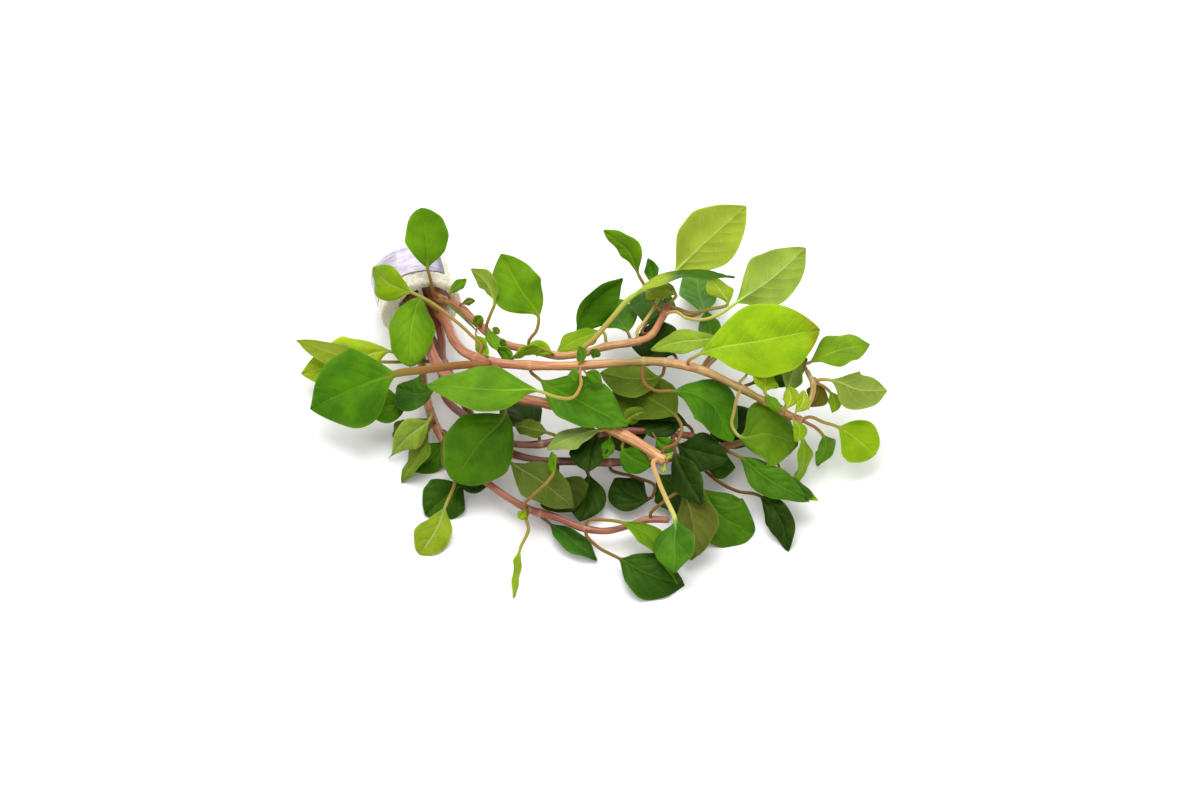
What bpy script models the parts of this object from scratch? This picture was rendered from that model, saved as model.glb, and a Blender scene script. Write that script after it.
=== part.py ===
"""A bunch of ludwigia cuttings, an aquarium plant, lying on a table.

Six cut stems go through a round foam plug with a metal strip bent round it, and fan out
to the right of it, with their leaves. Lengths here are in millimetres, and the meshes are
in metres. The plug lies on its round side, and the table is the plane z = 0.
"""

import math
from collections import namedtuple

import bmesh
import bpy
import numpy as np
from mathutils import Matrix

METRES = 0.001
GAP = 0.35  # free space between a leaf's foot and its stem, and between strip and foam

# Places are given as they look from VIEW_TILT above the table: across, up, and height.
VIEW_TILT = math.radians(50.0)
MIDDLE = (-2.7, -12.1)  # middle of the whole plant over the table, which goes to the origin

# Foam plug, a short tube with an axis that lies level
PLUG_RADIUS = 12.5
PLUG_HEIGHT = 12.0  # of the axis, less than the radius, so that the underside is flat
PLUG_BACK = (-57.3, 38.7, PLUG_HEIGHT)
PLUG_FRONT = (-53.7, 27.0, PLUG_HEIGHT)
PLUG_SIDES = 24
HOLE_RADIUS = 7.6
HOLE_OFFSET = (1.2, 1.6)  # sideways and up from the axis of the plug
HOLE_ROUNDING = 1.0
RIM_ROUNDING = 0.8

# Metal strip bent round the back half of the plug
STRIP_WIDTH = 10.2
STRIP_EDGE = 0.3  # from the back face of the plug
STRIP_RADIUS = 12.4
STRIP_THICKNESS = 0.5
STRIP_FROM = 45.0  # degrees round the plug, counted from its right side
STRIP_TO = 330.0

# Stems
STEM_SIDES = 7
STEM_STEP = 4.0  # between two rings of a stem
STEM_BEHIND = 1.5  # how far the cut ends stand out behind the plug
NODE_SWELLING = 0.16  # a stem is this much thicker where leaves grow
NODE_LENGTH = 3.0
HOLE_SHARE = 0.6  # share of the plug's length over which a stem runs straight
PAST_PLUG = 1.0  # length of straight stem in front of the plug

# Leaves
CURVE_STEPS = 16
STALK_RADIUS = 0.5
STALK_RINGS = 3
SMALL_STALK_RINGS = 2  # on the leaves that are one piece with their stems
SHORTEST_STRETCH = 0.8  # least distance from the foot of a stalk to its next point
THINNEST = 0.3  # least half width of a leaf, as a share of the radius of its stalk
BLADE_THICKNESS = 0.55  # along the midrib
BLADE_RINGS = (0.0, 0.1, 0.24, 0.4, 0.56, 0.72, 0.86, 0.95)  # shares of the length of a blade
SMALL_BLADE_RINGS = (0.0, 0.15, 0.35, 0.56, 0.78, 0.93)
ROLLED_AT = 0.56  # share of a blade's length where its turn is given
EDGE_HEIGHT = 0.2  # lowest height of a leaf's edge over the table
TOP_HEIGHT = 0.45  # lowest height of a leaf's upper face over the table

# Outline of a blade: place of its widest part, and how fast it narrows to the base and the tip
OUTLINES = {
    "ovate": (0.47, 1.7, 0.95),
    "round": (0.5, 1.3, 0.6),
    "lance": (0.48, 1.7, 1.1),
    "spoon": (0.6, 1.8, 0.7),
    "tailed": (0.34, 1.5, 2.2),
    "broad": (0.54, 1.6, 0.8),
}

# Colours: red, green, blue and roughness
COLOURS = {
    "bright leaf": (0.17, 0.36, 0.04, 0.45),
    "green leaf": (0.06, 0.20, 0.03, 0.45),
    "deep leaf": (0.03, 0.10, 0.03, 0.5),
    "leaf underside": (0.16, 0.25, 0.12, 0.6),
    "pink stem": (0.45, 0.16, 0.10, 0.45),
    "orange stem": (0.50, 0.22, 0.08, 0.45),
    "dark stem": (0.16, 0.04, 0.03, 0.45),
    "foam": (0.62, 0.52, 0.36, 0.95),
    "strip": (0.45, 0.42, 0.50, 0.35),
}

# A stem: its radius at the cut end and at the tip, its place in the hole as seen from the front,
# sideways and up from the axis of the plug, and its route from there to its tip.
Stem = namedtuple("Stem", "radius tip_radius colour in_hole route")
STEMS = {
    "stem_top": Stem(1.7, 1.0, "orange stem", (4.6, 1.9), [
        (-46.2, 23.4, 15), (-43.2, 17.1, 19), (-39, 13.5, 24), (-33, 11.4, 27), (-24, 10.5, 28.5),
        (-7.5, 10.2, 29), (6, 11.1, 29), (18, 11.4, 28.5), (30, 9, 27.5), (40.5, 4.2, 25.5),
        (49.5, -0.6, 23), (57, -4.8, 20.5), (60, -6, 19.5)]),
    "stem_back": Stem(1.4, 1.05, "pink stem", (5.2, 5.6), [
        (-43.5, 29.1, 20), (-37.2, 23.4, 21), (-28.5, 16.8, 22), (-19.5, 14.7, 22.5),
        (-12, 13.2, 22.5), (-6, 13.8, 22.5), (1.5, 15.9, 23), (9, 17.1, 23.5), (14.4, 18.6, 24),
        (18, 23.4, 24.5), (20.4, 28.2, 25)]),
    "stem_middle": Stem(1.35, 1.0, "dark stem", (3.6, -1.8), [
        (-48, 21, 11), (-47.4, 13.5, 12), (-47.1, 6, 13), (-45.6, 0, 14), (-39.6, -5.4, 14.5),
        (-33, -10.2, 14.5), (-26.4, -12.9, 14.5), (-18, -13.2, 14.5), (-12, -12, 14.5),
        (0, -9.9, 15), (16.5, -9.3, 15), (27, -10.8, 14), (33.6, -12.3, 12.5)]),
    "stem_low": Stem(1.3, 1.0, "pink stem", (-3.2, -1.0), [
        (-54, 15, 8), (-52.5, 3, 6.5), (-48.6, -9, 6), (-41.4, -19.2, 6), (-33, -25.2, 6.5),
        (-27, -29.4, 6.2), (-21.6, -32.4, 6), (-13.5, -34.8, 6), (-5.1, -38.1, 5.5),
        (1.5, -39, 5.5), (8.4, -37.5, 5), (13.5, -35.7, 5), (20.4, -35.7, 5)]),
    "stem_cut": Stem(1.8, 1.6, "orange stem", (-2.4, 2.6), [
        (-52.5, 19.5, 15), (-48.6, 10.5, 16.5), (-42, 4.5, 18.5), (-30, 1.5, 19), (-18, -0.6, 19),
        (-7.5, -3.3, 19), (3.6, -8.7, 19.5), (12, -13.2, 20), (19.5, -18.3, 20.5)]),
    "stem_dark": Stem(1.45, 1.0, "dark stem", (-0.2, -2.7), [
        (-48.6, 15, 9), (-42.6, 3, 9.5), (-36.6, -7.5, 9.5), (-28.5, -15, 10), (-18, -18, 10.5),
        (-7.5, -18.3, 10.5), (3.6, -18.6, 10.5), (15, -18, 10.5), (27, -16.5, 10.5),
        (36.6, -14.1, 10), (45, -12, 9), (52.5, -10.2, 8)]),
    "stem_tip": Stem(0.9, 0.7, "orange stem", None, [
        (61.5, -2.4, 22), (63, 0.6, 23), (63.6, 4.2, 24.5), (61.8, 8.7, 26)]),
}

# A leaf: its stem, the full width of its blade, how much wider than half of it the left side
# is, as a share, the angle that the blade is rolled away from
# the viewer, the angle that its edges rise, its outline, colour, the radius of its stalk,
# the points of the stalk from the stem on, and the base, middle and tip of the blade.
Leaf = namedtuple("Leaf", "name stem width turn cup lean outline colour radius stalk blade")


def leaf(name, stem, width, turn, stalk, blade, outline="ovate", colour="green leaf", cup=4.0,
         lean=0.0, radius=STALK_RADIUS):
    return Leaf(name, stem, width, turn, cup, lean, outline, colour, radius, stalk, blade)


LEAVES = [
    leaf("tall_leaf_1", "stem_back", 13.5, -8, [(-49.8, 31.8, 21), (-50.7, 35.7, 26)],
         [(-51.6, 39.3, 30), (-51.9, 48, 36), (-53.7, 57.6, 42)], cup=8),
    leaf("tall_leaf_2", "stem_top", 11, 25,
         [(-35.4, 15, 27), (-39, 19.8, 27), (-44.4, 24.6, 26.5), (-50.4, 29.1, 26.5)],
         [(-56.1, 32.1, 27.5), (-63.3, 34.8, 28.5), (-68.1, 39.9, 28)], colour="bright leaf"),
    leaf("tall_leaf_3", "stem_top", 14, 0, [(-50.7, 28.2, 19)],
         [(-52.8, 30.3, 21.5), (-56.1, 23.4, 22), (-56.7, 9.9, 17)], "round", cup=-12),
    leaf("tall_leaf_4", "stem_back", 8, -132, [(-33.9, 22.5, 24), (-32.7, 25.8, 28)],
         [(-31.5, 29.1, 31.5), (-33, 33.6, 35), (-38.7, 39.3, 38)], colour="leaf underside"),
    leaf("tall_leaf_5", "stem_back", 16, -15, [(-21.3, 17.1, 24.5), (-18.9, 21, 26)],
         [(-18.3, 24, 27.5), (-24.0, 33.3, 32), (-29.7, 43.8, 37)], lean=0.1),
    leaf("left_leaf_1", "stem_middle", 9.5, 140, [(-50.4, 11.4, 13.5), (-58.5, 11.4, 13)],
         [(-64.5, 11.4, 13), (-76.5, 12.9, 14), (-91.2, 18, 14)], "lance"),
    leaf("left_leaf_2", "stem_low", 16, -20, [(-55.8, 12.9, 8.5), (-59.4, 13.2, 9.5)],
         [(-62.1, 14.4, 10), (-75, 11.4, 9.5), (-89.7, 7.8, 7)], colour="bright leaf"),
    leaf("left_leaf_3", "stem_top", 24, -12,
         [(-34.8, 10.2, 29), (-39, 10.5, 29), (-43.5, 10.2, 28), (-52.5, 9, 25.5)],
         [(-60, 8.1, 22.5), (-71.4, 4.2, 18), (-86.7, -2.7, 11)], colour="deep leaf", radius=1.2),
    leaf("left_leaf_4", "stem_low", 11, -20, [(-54.6, 0, 8)],
         [(-57.3, -0.6, 9), (-63, -1.8, 9.5), (-70.2, -2.4, 8)]),
    leaf("left_leaf_5", "stem_middle", 13, -25, [(-47.1, 2.7, 16)],
         [(-49.2, 3, 16.8), (-54, 1.8, 15.5), (-60.9, 3.9, 13.5)], colour="deep leaf"),
    leaf("left_leaf_6", "stem_low", 9, 12, [(-50.1, -2.7, 9)],
         [(-51, -6, 11.5), (-56.4, -10.2, 9.8), (-63.3, -17.7, 0.6)], "tailed"),
    leaf("left_leaf_7", "stem_low", 10, -58, [(-49.8, -6.3, 8.5)],
         [(-51.3, -8.7, 7.9), (-53.7, -15.9, 4.4), (-59.4, -24.9, 0)]),
    leaf("middle_leaf_1", "stem_top", 18, -42,
         [(-6, 7.8, 30.5), (-5.7, 4.5, 31.5), (-8.4, 0.6, 31.5), (-13.2, 0.9, 31.5)],
         [(-17.4, 2.4, 31.5), (-32.4, 3, 32), (-51.6, 4.5, 30)], colour="bright leaf"),
    leaf("middle_leaf_2", "stem_top", 17, 28, [(-20.7, 8.7, 26.5)],
         [(-18.6, 6.6, 25.5), (-5.4, -0.6, 24.5), (8.4, -7.8, 22.5)], colour="deep leaf"),
    leaf("middle_leaf_3", "stem_cut", 12, 122, [(2.7, -8.7, 21.6)],
         [(0.6, -9, 21), (-6.6, -10.5, 19), (-15.9, -14.7, 17.5)], colour="leaf underside"),
    leaf("middle_leaf_4", "stem_cut", 22, 5, [(-29.4, 0, 21.8)],
         [(-28.2, -3.3, 22), (-36.6, -13.8, 19.5), (-43.5, -24.3, 11)],
         "round", "deep leaf", -8, lean=0.12),
    leaf("middle_leaf_5", "stem_dark", 14, -155, [(-28.5, -16.8, 12.5)],
         [(-27, -18.3, 13), (-18, -24, 12.5), (-7.8, -32.1, 9)], colour="leaf underside"),
    leaf("middle_leaf_6", "stem_low", 5, 55,
         [(-22.5, -30.9, 10.5), (-19.8, -28.2, 15), (-15.3, -24, 17.3)],
         [(-14.1, -22.2, 17), (-14.1, -18.6, 16.5), (-14.4, -15.6, 15.5)], colour="bright leaf"),
    leaf("middle_leaf_7", "stem_dark", 13, 0, [(-4.2, -20.1, 8.5)],
         [(-3.6, -21.9, 7), (-4.2, -29.1, 4.5), (-6, -36.3, 2.5)]),
    leaf("centre_leaf_1", "stem_back", 14, -40, [(-6.9, 15.3, 19.5)],
         [(-7.2, 17.7, 17.5), (-4.8, 25.5, 19.5), (6.9, 36.6, 24)], colour="leaf underside", cup=25),
    leaf("centre_leaf_2", "stem_back", 9, -45, [(1.8, 17.4, 20.5)],
         [(1.2, 20.1, 20.5), (-4.8, 18.6, 20.8), (-12.9, 14.4, 20)], colour="bright leaf"),
    leaf("centre_leaf_3", "stem_top", 13, 150, [(19.2, 9.6, 26)],
         [(18.6, 7.5, 23.3), (10.2, 6.3, 22.8), (0, 8.1, 22.6)], colour="leaf underside"),
    leaf("centre_leaf_4", "stem_top", 17, 35, [(12.6, 9.3, 28), (13.2, 5.1, 26), (16.8, 2.7, 25)],
         [(21, 2.7, 24.5), (31.2, 0.3, 23.5), (39.6, -12.6, 16.5)], colour="deep leaf"),
    leaf("centre_leaf_5", "stem_cut", 18, 150,
         [(18.6, -15.6, 22.3), (22.2, -13.2, 23), (24.3, -9.3, 23)],
         [(23.1, -5.4, 21), (15, 0.3, 19.5), (3.3, 5.7, 18)], colour="leaf underside"),
    leaf("top_leaf_1", "stem_back", 8, 38, [(17.1, 27.6, 26.9), (14.4, 32.7, 26.3)],
         [(11.7, 37.2, 29), (9, 43.8, 34), (0.9, 51, 38)], lean=-0.25),
    leaf("top_leaf_2", "stem_back", 19, 172,
         [(11.1, 19.5, 25.5), (13.5, 23.7, 25.5), (16.8, 28.8, 24.2), (19.2, 35.1, 25.2)],
         [(21.9, 37.8, 27), (30.6, 46.5, 34), (43.8, 58.2, 44)], colour="leaf underside", cup=-10),
    leaf("top_leaf_3", "stem_top", 10, 72, [(-6.3, 12.6, 29.5), (-0.9, 19.2, 29.5), (4.2, 25.2, 30)],
         [(8.7, 30.3, 31), (24, 37.2, 34), (40.5, 36.6, 33)], colour="bright leaf", radius=0.8),
    leaf("top_leaf_4", "stem_back", 12, 0, [(21.9, 27.3, 22.5), (26.4, 25.2, 18)],
         [(30, 26.1, 14.5), (29.7, 33, 7), (28.8, 41.1, 0)], colour="deep leaf"),
    leaf("top_leaf_5", "stem_back", 8, -30, [(22.5, 27.6, 25), (27.6, 26.1, 24.5), (33.6, 27.3, 24)],
         [(38.1, 28.5, 23.5), (36, 32.7, 23), (32.7, 36.6, 22)]),
    leaf("top_leaf_6", "stem_back", 16, 175,
         [(22.8, 26.4, 27.5), (25.8, 24.6, 27.8), (30.6, 24, 27.8), (36, 25.8, 28)],
         [(39.9, 28.5, 28.5), (49.2, 34.8, 31), (61.8, 45.6, 36)], colour="leaf underside"),
    leaf("top_leaf_7", "stem_top", 23, 12, [(26.4, 11.7, 31)],
         [(28.8, 13.2, 31.6), (48.6, 17.7, 34), (65.7, 21, 33)], "broad", "bright leaf"),
    leaf("top_leaf_8", "stem_top", 9, -40, [(32.4, 10.2, 26), (36, 14.4, 25.5)],
         [(36.6, 17.1, 26), (27.6, 17.7, 27), (15, 15, 27)], colour="leaf underside"),
    leaf("right_leaf_1", "stem_tip", 14, 45, [(61.2, 10.2, 27)],
         [(62.4, 11.1, 26.5), (72, 15, 27), (80.7, 16.5, 26)], colour="bright leaf"),
    leaf("right_leaf_2", "stem_tip", 13, -150, [(65.1, 6, 25)],
         [(68.4, 6, 24.5), (77.1, 3, 23), (85.8, 2.7, 21)], colour="leaf underside"),
    leaf("right_leaf_3", "stem_top", 14, 15, [(62.1, -5.1, 19.5), (66.6, -6.6, 17.5)],
         [(71.1, -8.1, 14.5), (76.8, -12, 11), (82.2, -16.5, 7)], "round", "bright leaf"),
    leaf("right_leaf_4", "stem_top", 7, 40, [(61.8, -6.9, 18.5), (64.5, -8.4, 15.5)],
         [(66.3, -10.2, 13), (67.5, -14.1, 7), (64.8, -19.8, 0.4)]),
    leaf("right_leaf_5", "stem_top", 7, 55, [(59.7, -7.8, 18)],
         [(60, -9.9, 15), (60.9, -17.4, 8.5), (58.5, -24.9, 0)]),
    leaf("right_leaf_6", "stem_top", 21, 20, [(41.1, 1.5, 26), (39.9, -3.6, 22.5), (39.3, -7.5, 19.5)],
         [(41.1, -10.5, 17.6), (49.8, -10.2, 16.4), (59.1, -13.5, 11.5)], colour="deep leaf"),
    leaf("right_leaf_7", "stem_top", 9, 150, [(55.5, -1.5, 23)],
         [(55.8, 1.8, 24.2), (57, 7.5, 24.6), (61.2, 13.8, 25)], colour="leaf underside"),
    leaf("front_leaf_1", "stem_low", 11, -12, [(-42, -21.6, 7), (-43.8, -26.4, 6)],
         [(-45.9, -31.2, 5), (-48.6, -38.4, 3), (-53.7, -46.2, 0)], "spoon", "bright leaf"),
    leaf("front_leaf_2", "stem_low", 14.5, -15, [(-39.6, -22.2, 4)],
         [(-40.8, -24.6, 3.5), (-45.3, -28.5, 2.6), (-52.2, -34.5, 0.6)]),
    leaf("front_leaf_3", "stem_low", 5, 60, [(-21.9, -34.5, 6.5), (-21.3, -38.7, 7)],
         [(-23.7, -44.1, 5.5), (-25.2, -51.6, 3.5), (-25.8, -59.1, 0)], colour="bright leaf"),
    leaf("front_leaf_4", "stem_low", 9, 45, [(-17.4, -34.8, 3.5)],
         [(-15.6, -36.3, 3), (-8.4, -42, 2), (-0.9, -48, 0.8)], colour="bright leaf"),
    leaf("front_leaf_5", "stem_low", 9, 40, [(-3.9, -36.3, 7.5), (1.2, -35.7, 8.5)],
         [(6, -36.3, 8.5), (14.4, -40.2, 7.5), (23.1, -54.9, 2)], "tailed"),
    leaf("front_leaf_6", "stem_low", 16, 25, [(-4.2, -39.6, 6.3), (-0.9, -43.5, 5.5)],
         [(5.1, -46.8, 4.6), (14.7, -51.9, 3.2), (25.2, -55.2, 0)], colour="deep leaf"),
    leaf("front_leaf_7", "stem_cut", 14, -25,
         [(15.9, -18.3, 22), (17.1, -23.1, 20), (19.8, -29.7, 16)],
         [(22.2, -35.1, 13.5), (22.2, -42.9, 11), (22.5, -51.3, 8)], radius=0.7),
    leaf("front_leaf_8", "stem_low", 16, 150, [(15, -34.2, 7), (18.6, -30.6, 9)],
         [(23.4, -27.6, 10.5), (27.9, -36.6, 8), (27, -47.7, 4)], colour="leaf underside"),
    leaf("front_leaf_9", "stem_dark", 17.5, 20, [(25.2, -18.6, 8.3), (27.6, -22.8, 7)],
         [(30.3, -26.4, 5.5), (37.2, -35.7, 3.2), (46.2, -39.3, 0)], colour="deep leaf"),
    leaf("front_leaf_10", "stem_middle", 10, -20, [(21.9, -11.4, 17)],
         [(22.2, -15, 16.5), (25.5, -22.8, 15), (30.6, -31.2, 13)], colour="deep leaf"),
    leaf("front_leaf_11", "stem_dark", 8.5, -12, [(29.4, -18, 9.5), (34.5, -23.7, 7.5), (41.4, -27.3, 7)],
         [(46.8, -28.2, 7), (53.7, -35.7, 5), (56.1, -45.3, 0)], colour="bright leaf", cup=8),
    leaf("front_leaf_12", "stem_dark", 10.5, 25, [(38.1, -15.3, 12)],
         [(40.8, -16.5, 12), (50.1, -23.7, 11.1), (62.4, -30.3, 8)], colour="deep leaf"),
]

# Small leaves that are one piece with their stems
GROWN_ON = [
    leaf("back_twig", "stem_back", 5, 50, [(-14.4, 13.8, 25)],
         [(-17.1, 15.3, 26.5), (-21.6, 15, 28), (-27, 12.6, 28)]),
    leaf("back_scale", "stem_back", 12, -15, [(9, 18.6, 20.5)],
         [(8.4, 20.1, 18.2), (5.4, 24.6, 14.8), (1.8, 30.9, 12.5)]),
    leaf("back_end", "stem_back", 8, 140, [(21.6, 29.7, 27.5)],
         [(22.8, 31.2, 28.5), (18.9, 33, 28.8), (13.5, 30.3, 28.5)]),
    leaf("low_left", "stem_low", 7, 125, [(-52.5, -6, 7)],
         [(-57, -6.3, 7.5), (-59.7, -8.1, 6), (-62.1, -11.1, 4)]),
    leaf("low_front", "stem_low", 10, -15, [(-46.2, -9.6, 3.5)],
         [(-46.8, -12, 3.5), (-49.8, -16.5, 2), (-55.5, -21.6, 0.5)]),
    leaf("middle_twig", "stem_middle", 8, -45, [(-13.2, -10.8, 16)],
         [(-15.3, -9.9, 16.5), (-19.5, -9, 17), (-25.5, -7.2, 17)]),
    leaf("dark_front", "stem_dark", 16, 170, [(-12.6, -20.4, 10.5)],
         [(-12.9, -22.8, 9.5), (-11.1, -27.3, 8), (-8.1, -33.3, 5)]),
    leaf("dark_loop", "stem_dark", 13, -20, [(3, -20.1, 9), (9.9, -22.8, 7.5), (16.5, -26.1, 6.5)],
         [(15.3, -29.1, 5.5), (9.6, -28.5, 4.5), (4.2, -23.4, 5)]),
    leaf("dark_scale", "stem_dark", 9, 20, [(31.8, -16.8, 7.5)],
         [(31.5, -17.7, 6.8), (35.1, -19.2, 6), (40.5, -20.1, 5)]),
    leaf("top_scale", "stem_top", 7, 0, [(31.5, 11.4, 24), (33.6, 14.4, 22)],
         [(34.2, 16.2, 21.5), (33, 21, 20), (31.8, 26.7, 19)]),
    leaf("tip_front", "stem_tip", 8, 30, [(64.5, 6, 22.5)],
         [(65.1, 5.1, 22), (64.8, 1.5, 20.5), (62.7, -2.1, 18.5)]),
    leaf("tip_side", "stem_tip", 4, 0, [(66.0, 4.5, 22)],
         [(68.4, 2.7, 20), (70.2, -1.2, 17), (69.3, -3.9, 15.5)]),
    leaf("middle_back", "stem_middle", 13, -40, [(-18, -12, 12.5)],
         [(-18.6, -9.6, 11.5), (-23.4, -4.5, 11), (-29.4, 0.6, 10)]),
    leaf("middle_shade", "stem_middle", 13, 40, [(0, -8.1, 14)],
         [(1.2, -6.6, 13.5), (7.8, -1.5, 13), (15.6, 3, 12)]),
    leaf("middle_right", "stem_middle", 12, 10, [(21.6, -11.4, 13)],
         [(22.8, -12.9, 12.8), (30, -15.6, 13.8), (38.4, -17.4, 13.3)]),
    leaf("middle_far", "stem_middle", 13, -30, [(27.6, -9.3, 15)],
         [(26.4, -7.8, 15.3), (18.6, -6.3, 16), (9.6, -5.4, 15.5)]),
    leaf("top_shade", "stem_top", 13, 30, [(43.2, 4.2, 23)],
         [(45, 4.8, 22), (53.4, 9, 22.5), (62.1, 12.3, 21.5)]),
    leaf("top_end", "stem_top", 9, -20, [(49.8, 0.6, 24.2)],
         [(49.2, 2.1, 25.2), (49.2, 5.4, 26.2), (50.7, 8.4, 26.4)]),
    leaf("top_under", "stem_top", 14, -20, [(22.8, 12, 26.5)],
         [(22.2, 13.5, 23), (17.4, 16.8, 19.5), (9, 16.8, 17)]),
    leaf("top_low", "stem_top", 12, 20, [(31.8, 10.5, 25)],
         [(33.6, 12.3, 23.5), (39.9, 15.9, 22), (47.4, 19.5, 20)]),
    leaf("cut_fill", "stem_cut", 12, -15, [(0, -8.7, 17.3)],
         [(-0.9, -10.2, 17), (-3, -15.3, 16), (-3.6, -21.6, 14)]),
    leaf("cut_right", "stem_cut", 9, -10, [(7.2, -12, 18.5)],
         [(6.6, -13.8, 17.5), (9.6, -17.4, 16.5), (15.3, -19.8, 15.5)]),
    leaf("dark_right", "stem_dark", 14, 10, [(31.2, -14.1, 9.8)],
         [(32.4, -12.3, 9.5), (39.6, -8.4, 9), (47.4, -3.6, 8)]),
    leaf("back_shade", "stem_back", 14, 10, [(12.6, 20.1, 22)],
         [(13.5, 22.2, 20), (15.6, 28.2, 17.5), (17.4, 34.2, 15)]),
    leaf("dark_back", "stem_dark", 13, -150, [(-1.5, -16.5, 9.5)],
         [(-0.6, -14.7, 8.5), (6.3, -9.9, 8), (15.3, -6.0, 7)]),
    leaf("dark_under", "stem_dark", 12, 10, [(15.9, -19.8, 9)],
         [(16.8, -21.6, 8), (21.6, -27.6, 5), (24.6, -34.8, 2)]),
]

TO_VIEWER = np.array((0.0, -math.cos(VIEW_TILT), math.sin(VIEW_TILT)))


def seen(across, up, height):
    """Where a point lies that looks this far across and up from VIEW_TILT, at this height."""
    depth = (up - height * math.cos(VIEW_TILT)) / math.sin(VIEW_TILT)
    return np.array((across - MIDDLE[0], depth - MIDDLE[1], height))


def unit(vectors):
    return vectors / np.linalg.norm(vectors, axis=-1, keepdims=True)


def curve_through(points):
    """A fine line through the points, of cubics whose slope at each point is the mean of the
    slopes on both sides, where the shorter side counts more. With it, the distances along it."""
    points = np.array(points, float)
    steps = np.diff(points, axis=0)
    lengths = np.linalg.norm(steps, axis=1)[:, None]
    slopes = steps / lengths
    inner = (slopes[:-1] * lengths[1:] + slopes[1:] * lengths[:-1]) / (lengths[:-1] + lengths[1:])
    tangents = np.vstack((slopes[:1], inner, slopes[-1:]))
    t = np.linspace(0.0, 1.0, CURVE_STEPS, endpoint=False)[:, None]
    from_start = (1 + 2 * t) * (1 - t) ** 2
    leaving = t * (1 - t) ** 2
    arriving = t * t * (t - 1)
    stretches = [
        from_start * points[i] + (1 - from_start) * points[i + 1]
        + lengths[i] * (leaving * tangents[i] + arriving * tangents[i + 1])
        for i in range(len(steps))
    ]
    line = np.vstack(stretches + [points[-1:]])
    walked = np.concatenate(([0.0], np.cumsum(np.linalg.norm(np.diff(line, axis=0), axis=1))))
    return line, walked


def on_curve(line, walked, distances):
    """Points and directions of a line at these distances along it."""
    slopes = np.gradient(line, walked, axis=0)
    points = np.column_stack([np.interp(distances, walked, line[:, i]) for i in range(3)])
    directions = np.column_stack([np.interp(distances, walked, slopes[:, i]) for i in range(3)])
    return points, unit(directions)


def carried(directions, start, side):
    """The sideways direction of each ring, carried along the line from ring start without twist."""
    sides = np.zeros_like(directions)
    sides[start] = side
    for towards in (-1, 1):
        last = start
        while 0 <= last + towards < len(directions):
            ring = last + towards
            flat = sides[last] - directions[ring] * np.dot(sides[last], directions[ring])
            sides[ring] = unit(flat)
            last = ring
    return sides


def finish(colour):
    """A material with one of the plant's colours."""
    material = bpy.data.materials.get(colour)
    if material is None:
        *rgb, roughness = COLOURS[colour]
        material = bpy.data.materials.new(colour)
        material.use_nodes = True
        shader = material.node_tree.nodes["Principled BSDF"]
        shader.inputs["Base Color"].default_value = (*rgb, 1.0)
        shader.inputs["Roughness"].default_value = roughness
        shader.inputs["Metallic"].default_value = 1.0 if colour == "strip" else 0.0
    return material


def skin(name, rings, colour, tip=None, joined=False, sharp=40.0):
    """An object whose skin runs from ring to ring. It ends in the tip, or flat on the last ring,
    or at the first ring again if joined."""
    origin = rings[0].mean(axis=0)
    mesh = bpy.data.meshes.new(name)
    bm = bmesh.new()
    loops = [[bm.verts.new((point - origin) * METRES) for point in ring] for ring in rings]
    sides = len(loops[0])
    pairs = list(zip(loops, loops[1:]))
    if joined:
        pairs.append((loops[-1], loops[0]))
    for lower, upper in pairs:
        for i in range(sides):
            j = (i + 1) % sides
            bm.faces.new((lower[i], lower[j], upper[j], upper[i]))
    if not joined:
        bm.faces.new(loops[0][::-1])
        if tip is None:
            bm.faces.new(loops[-1])
        else:
            end = bm.verts.new((tip - origin) * METRES)
            for i in range(sides):
                bm.faces.new((loops[-1][i], loops[-1][(i + 1) % sides], end))
    bmesh.ops.recalc_face_normals(bm, faces=bm.faces)
    bm.to_mesh(mesh)
    bm.free()
    mesh.shade_smooth()
    mesh.set_sharp_from_angle(angle=math.radians(sharp))
    mesh.materials.append(finish(colour))
    obj = bpy.data.objects.new(name, mesh)
    obj.matrix_world = Matrix.Translation(origin * METRES)
    bpy.context.scene.collection.objects.link(obj)
    return obj


def plug_axes():
    """Middle of the back face, direction of the axis, sideways direction and length of the plug."""
    back = seen(*PLUG_BACK)
    along = seen(*PLUG_FRONT) - back
    length = np.linalg.norm(along)
    along = along / length
    sideways = np.array((-along[1], along[0], 0.0))
    return back, along, sideways, length


def round_plug(distance, radii, angles, offset=(0.0, 0.0), lowest=0.0):
    """Points round the plug's axis, at a distance from its back face. None is under lowest."""
    back, along, sideways = plug_axes()[:3]
    upright = np.array((0.0, 0.0, 1.0))
    middle = back + along * distance + sideways * offset[0] + upright * offset[1]
    points = middle + radii * (np.cos(angles)[:, None] * sideways + np.sin(angles)[:, None] * upright)
    points[:, 2] = np.maximum(points[:, 2], lowest)
    return points


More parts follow.
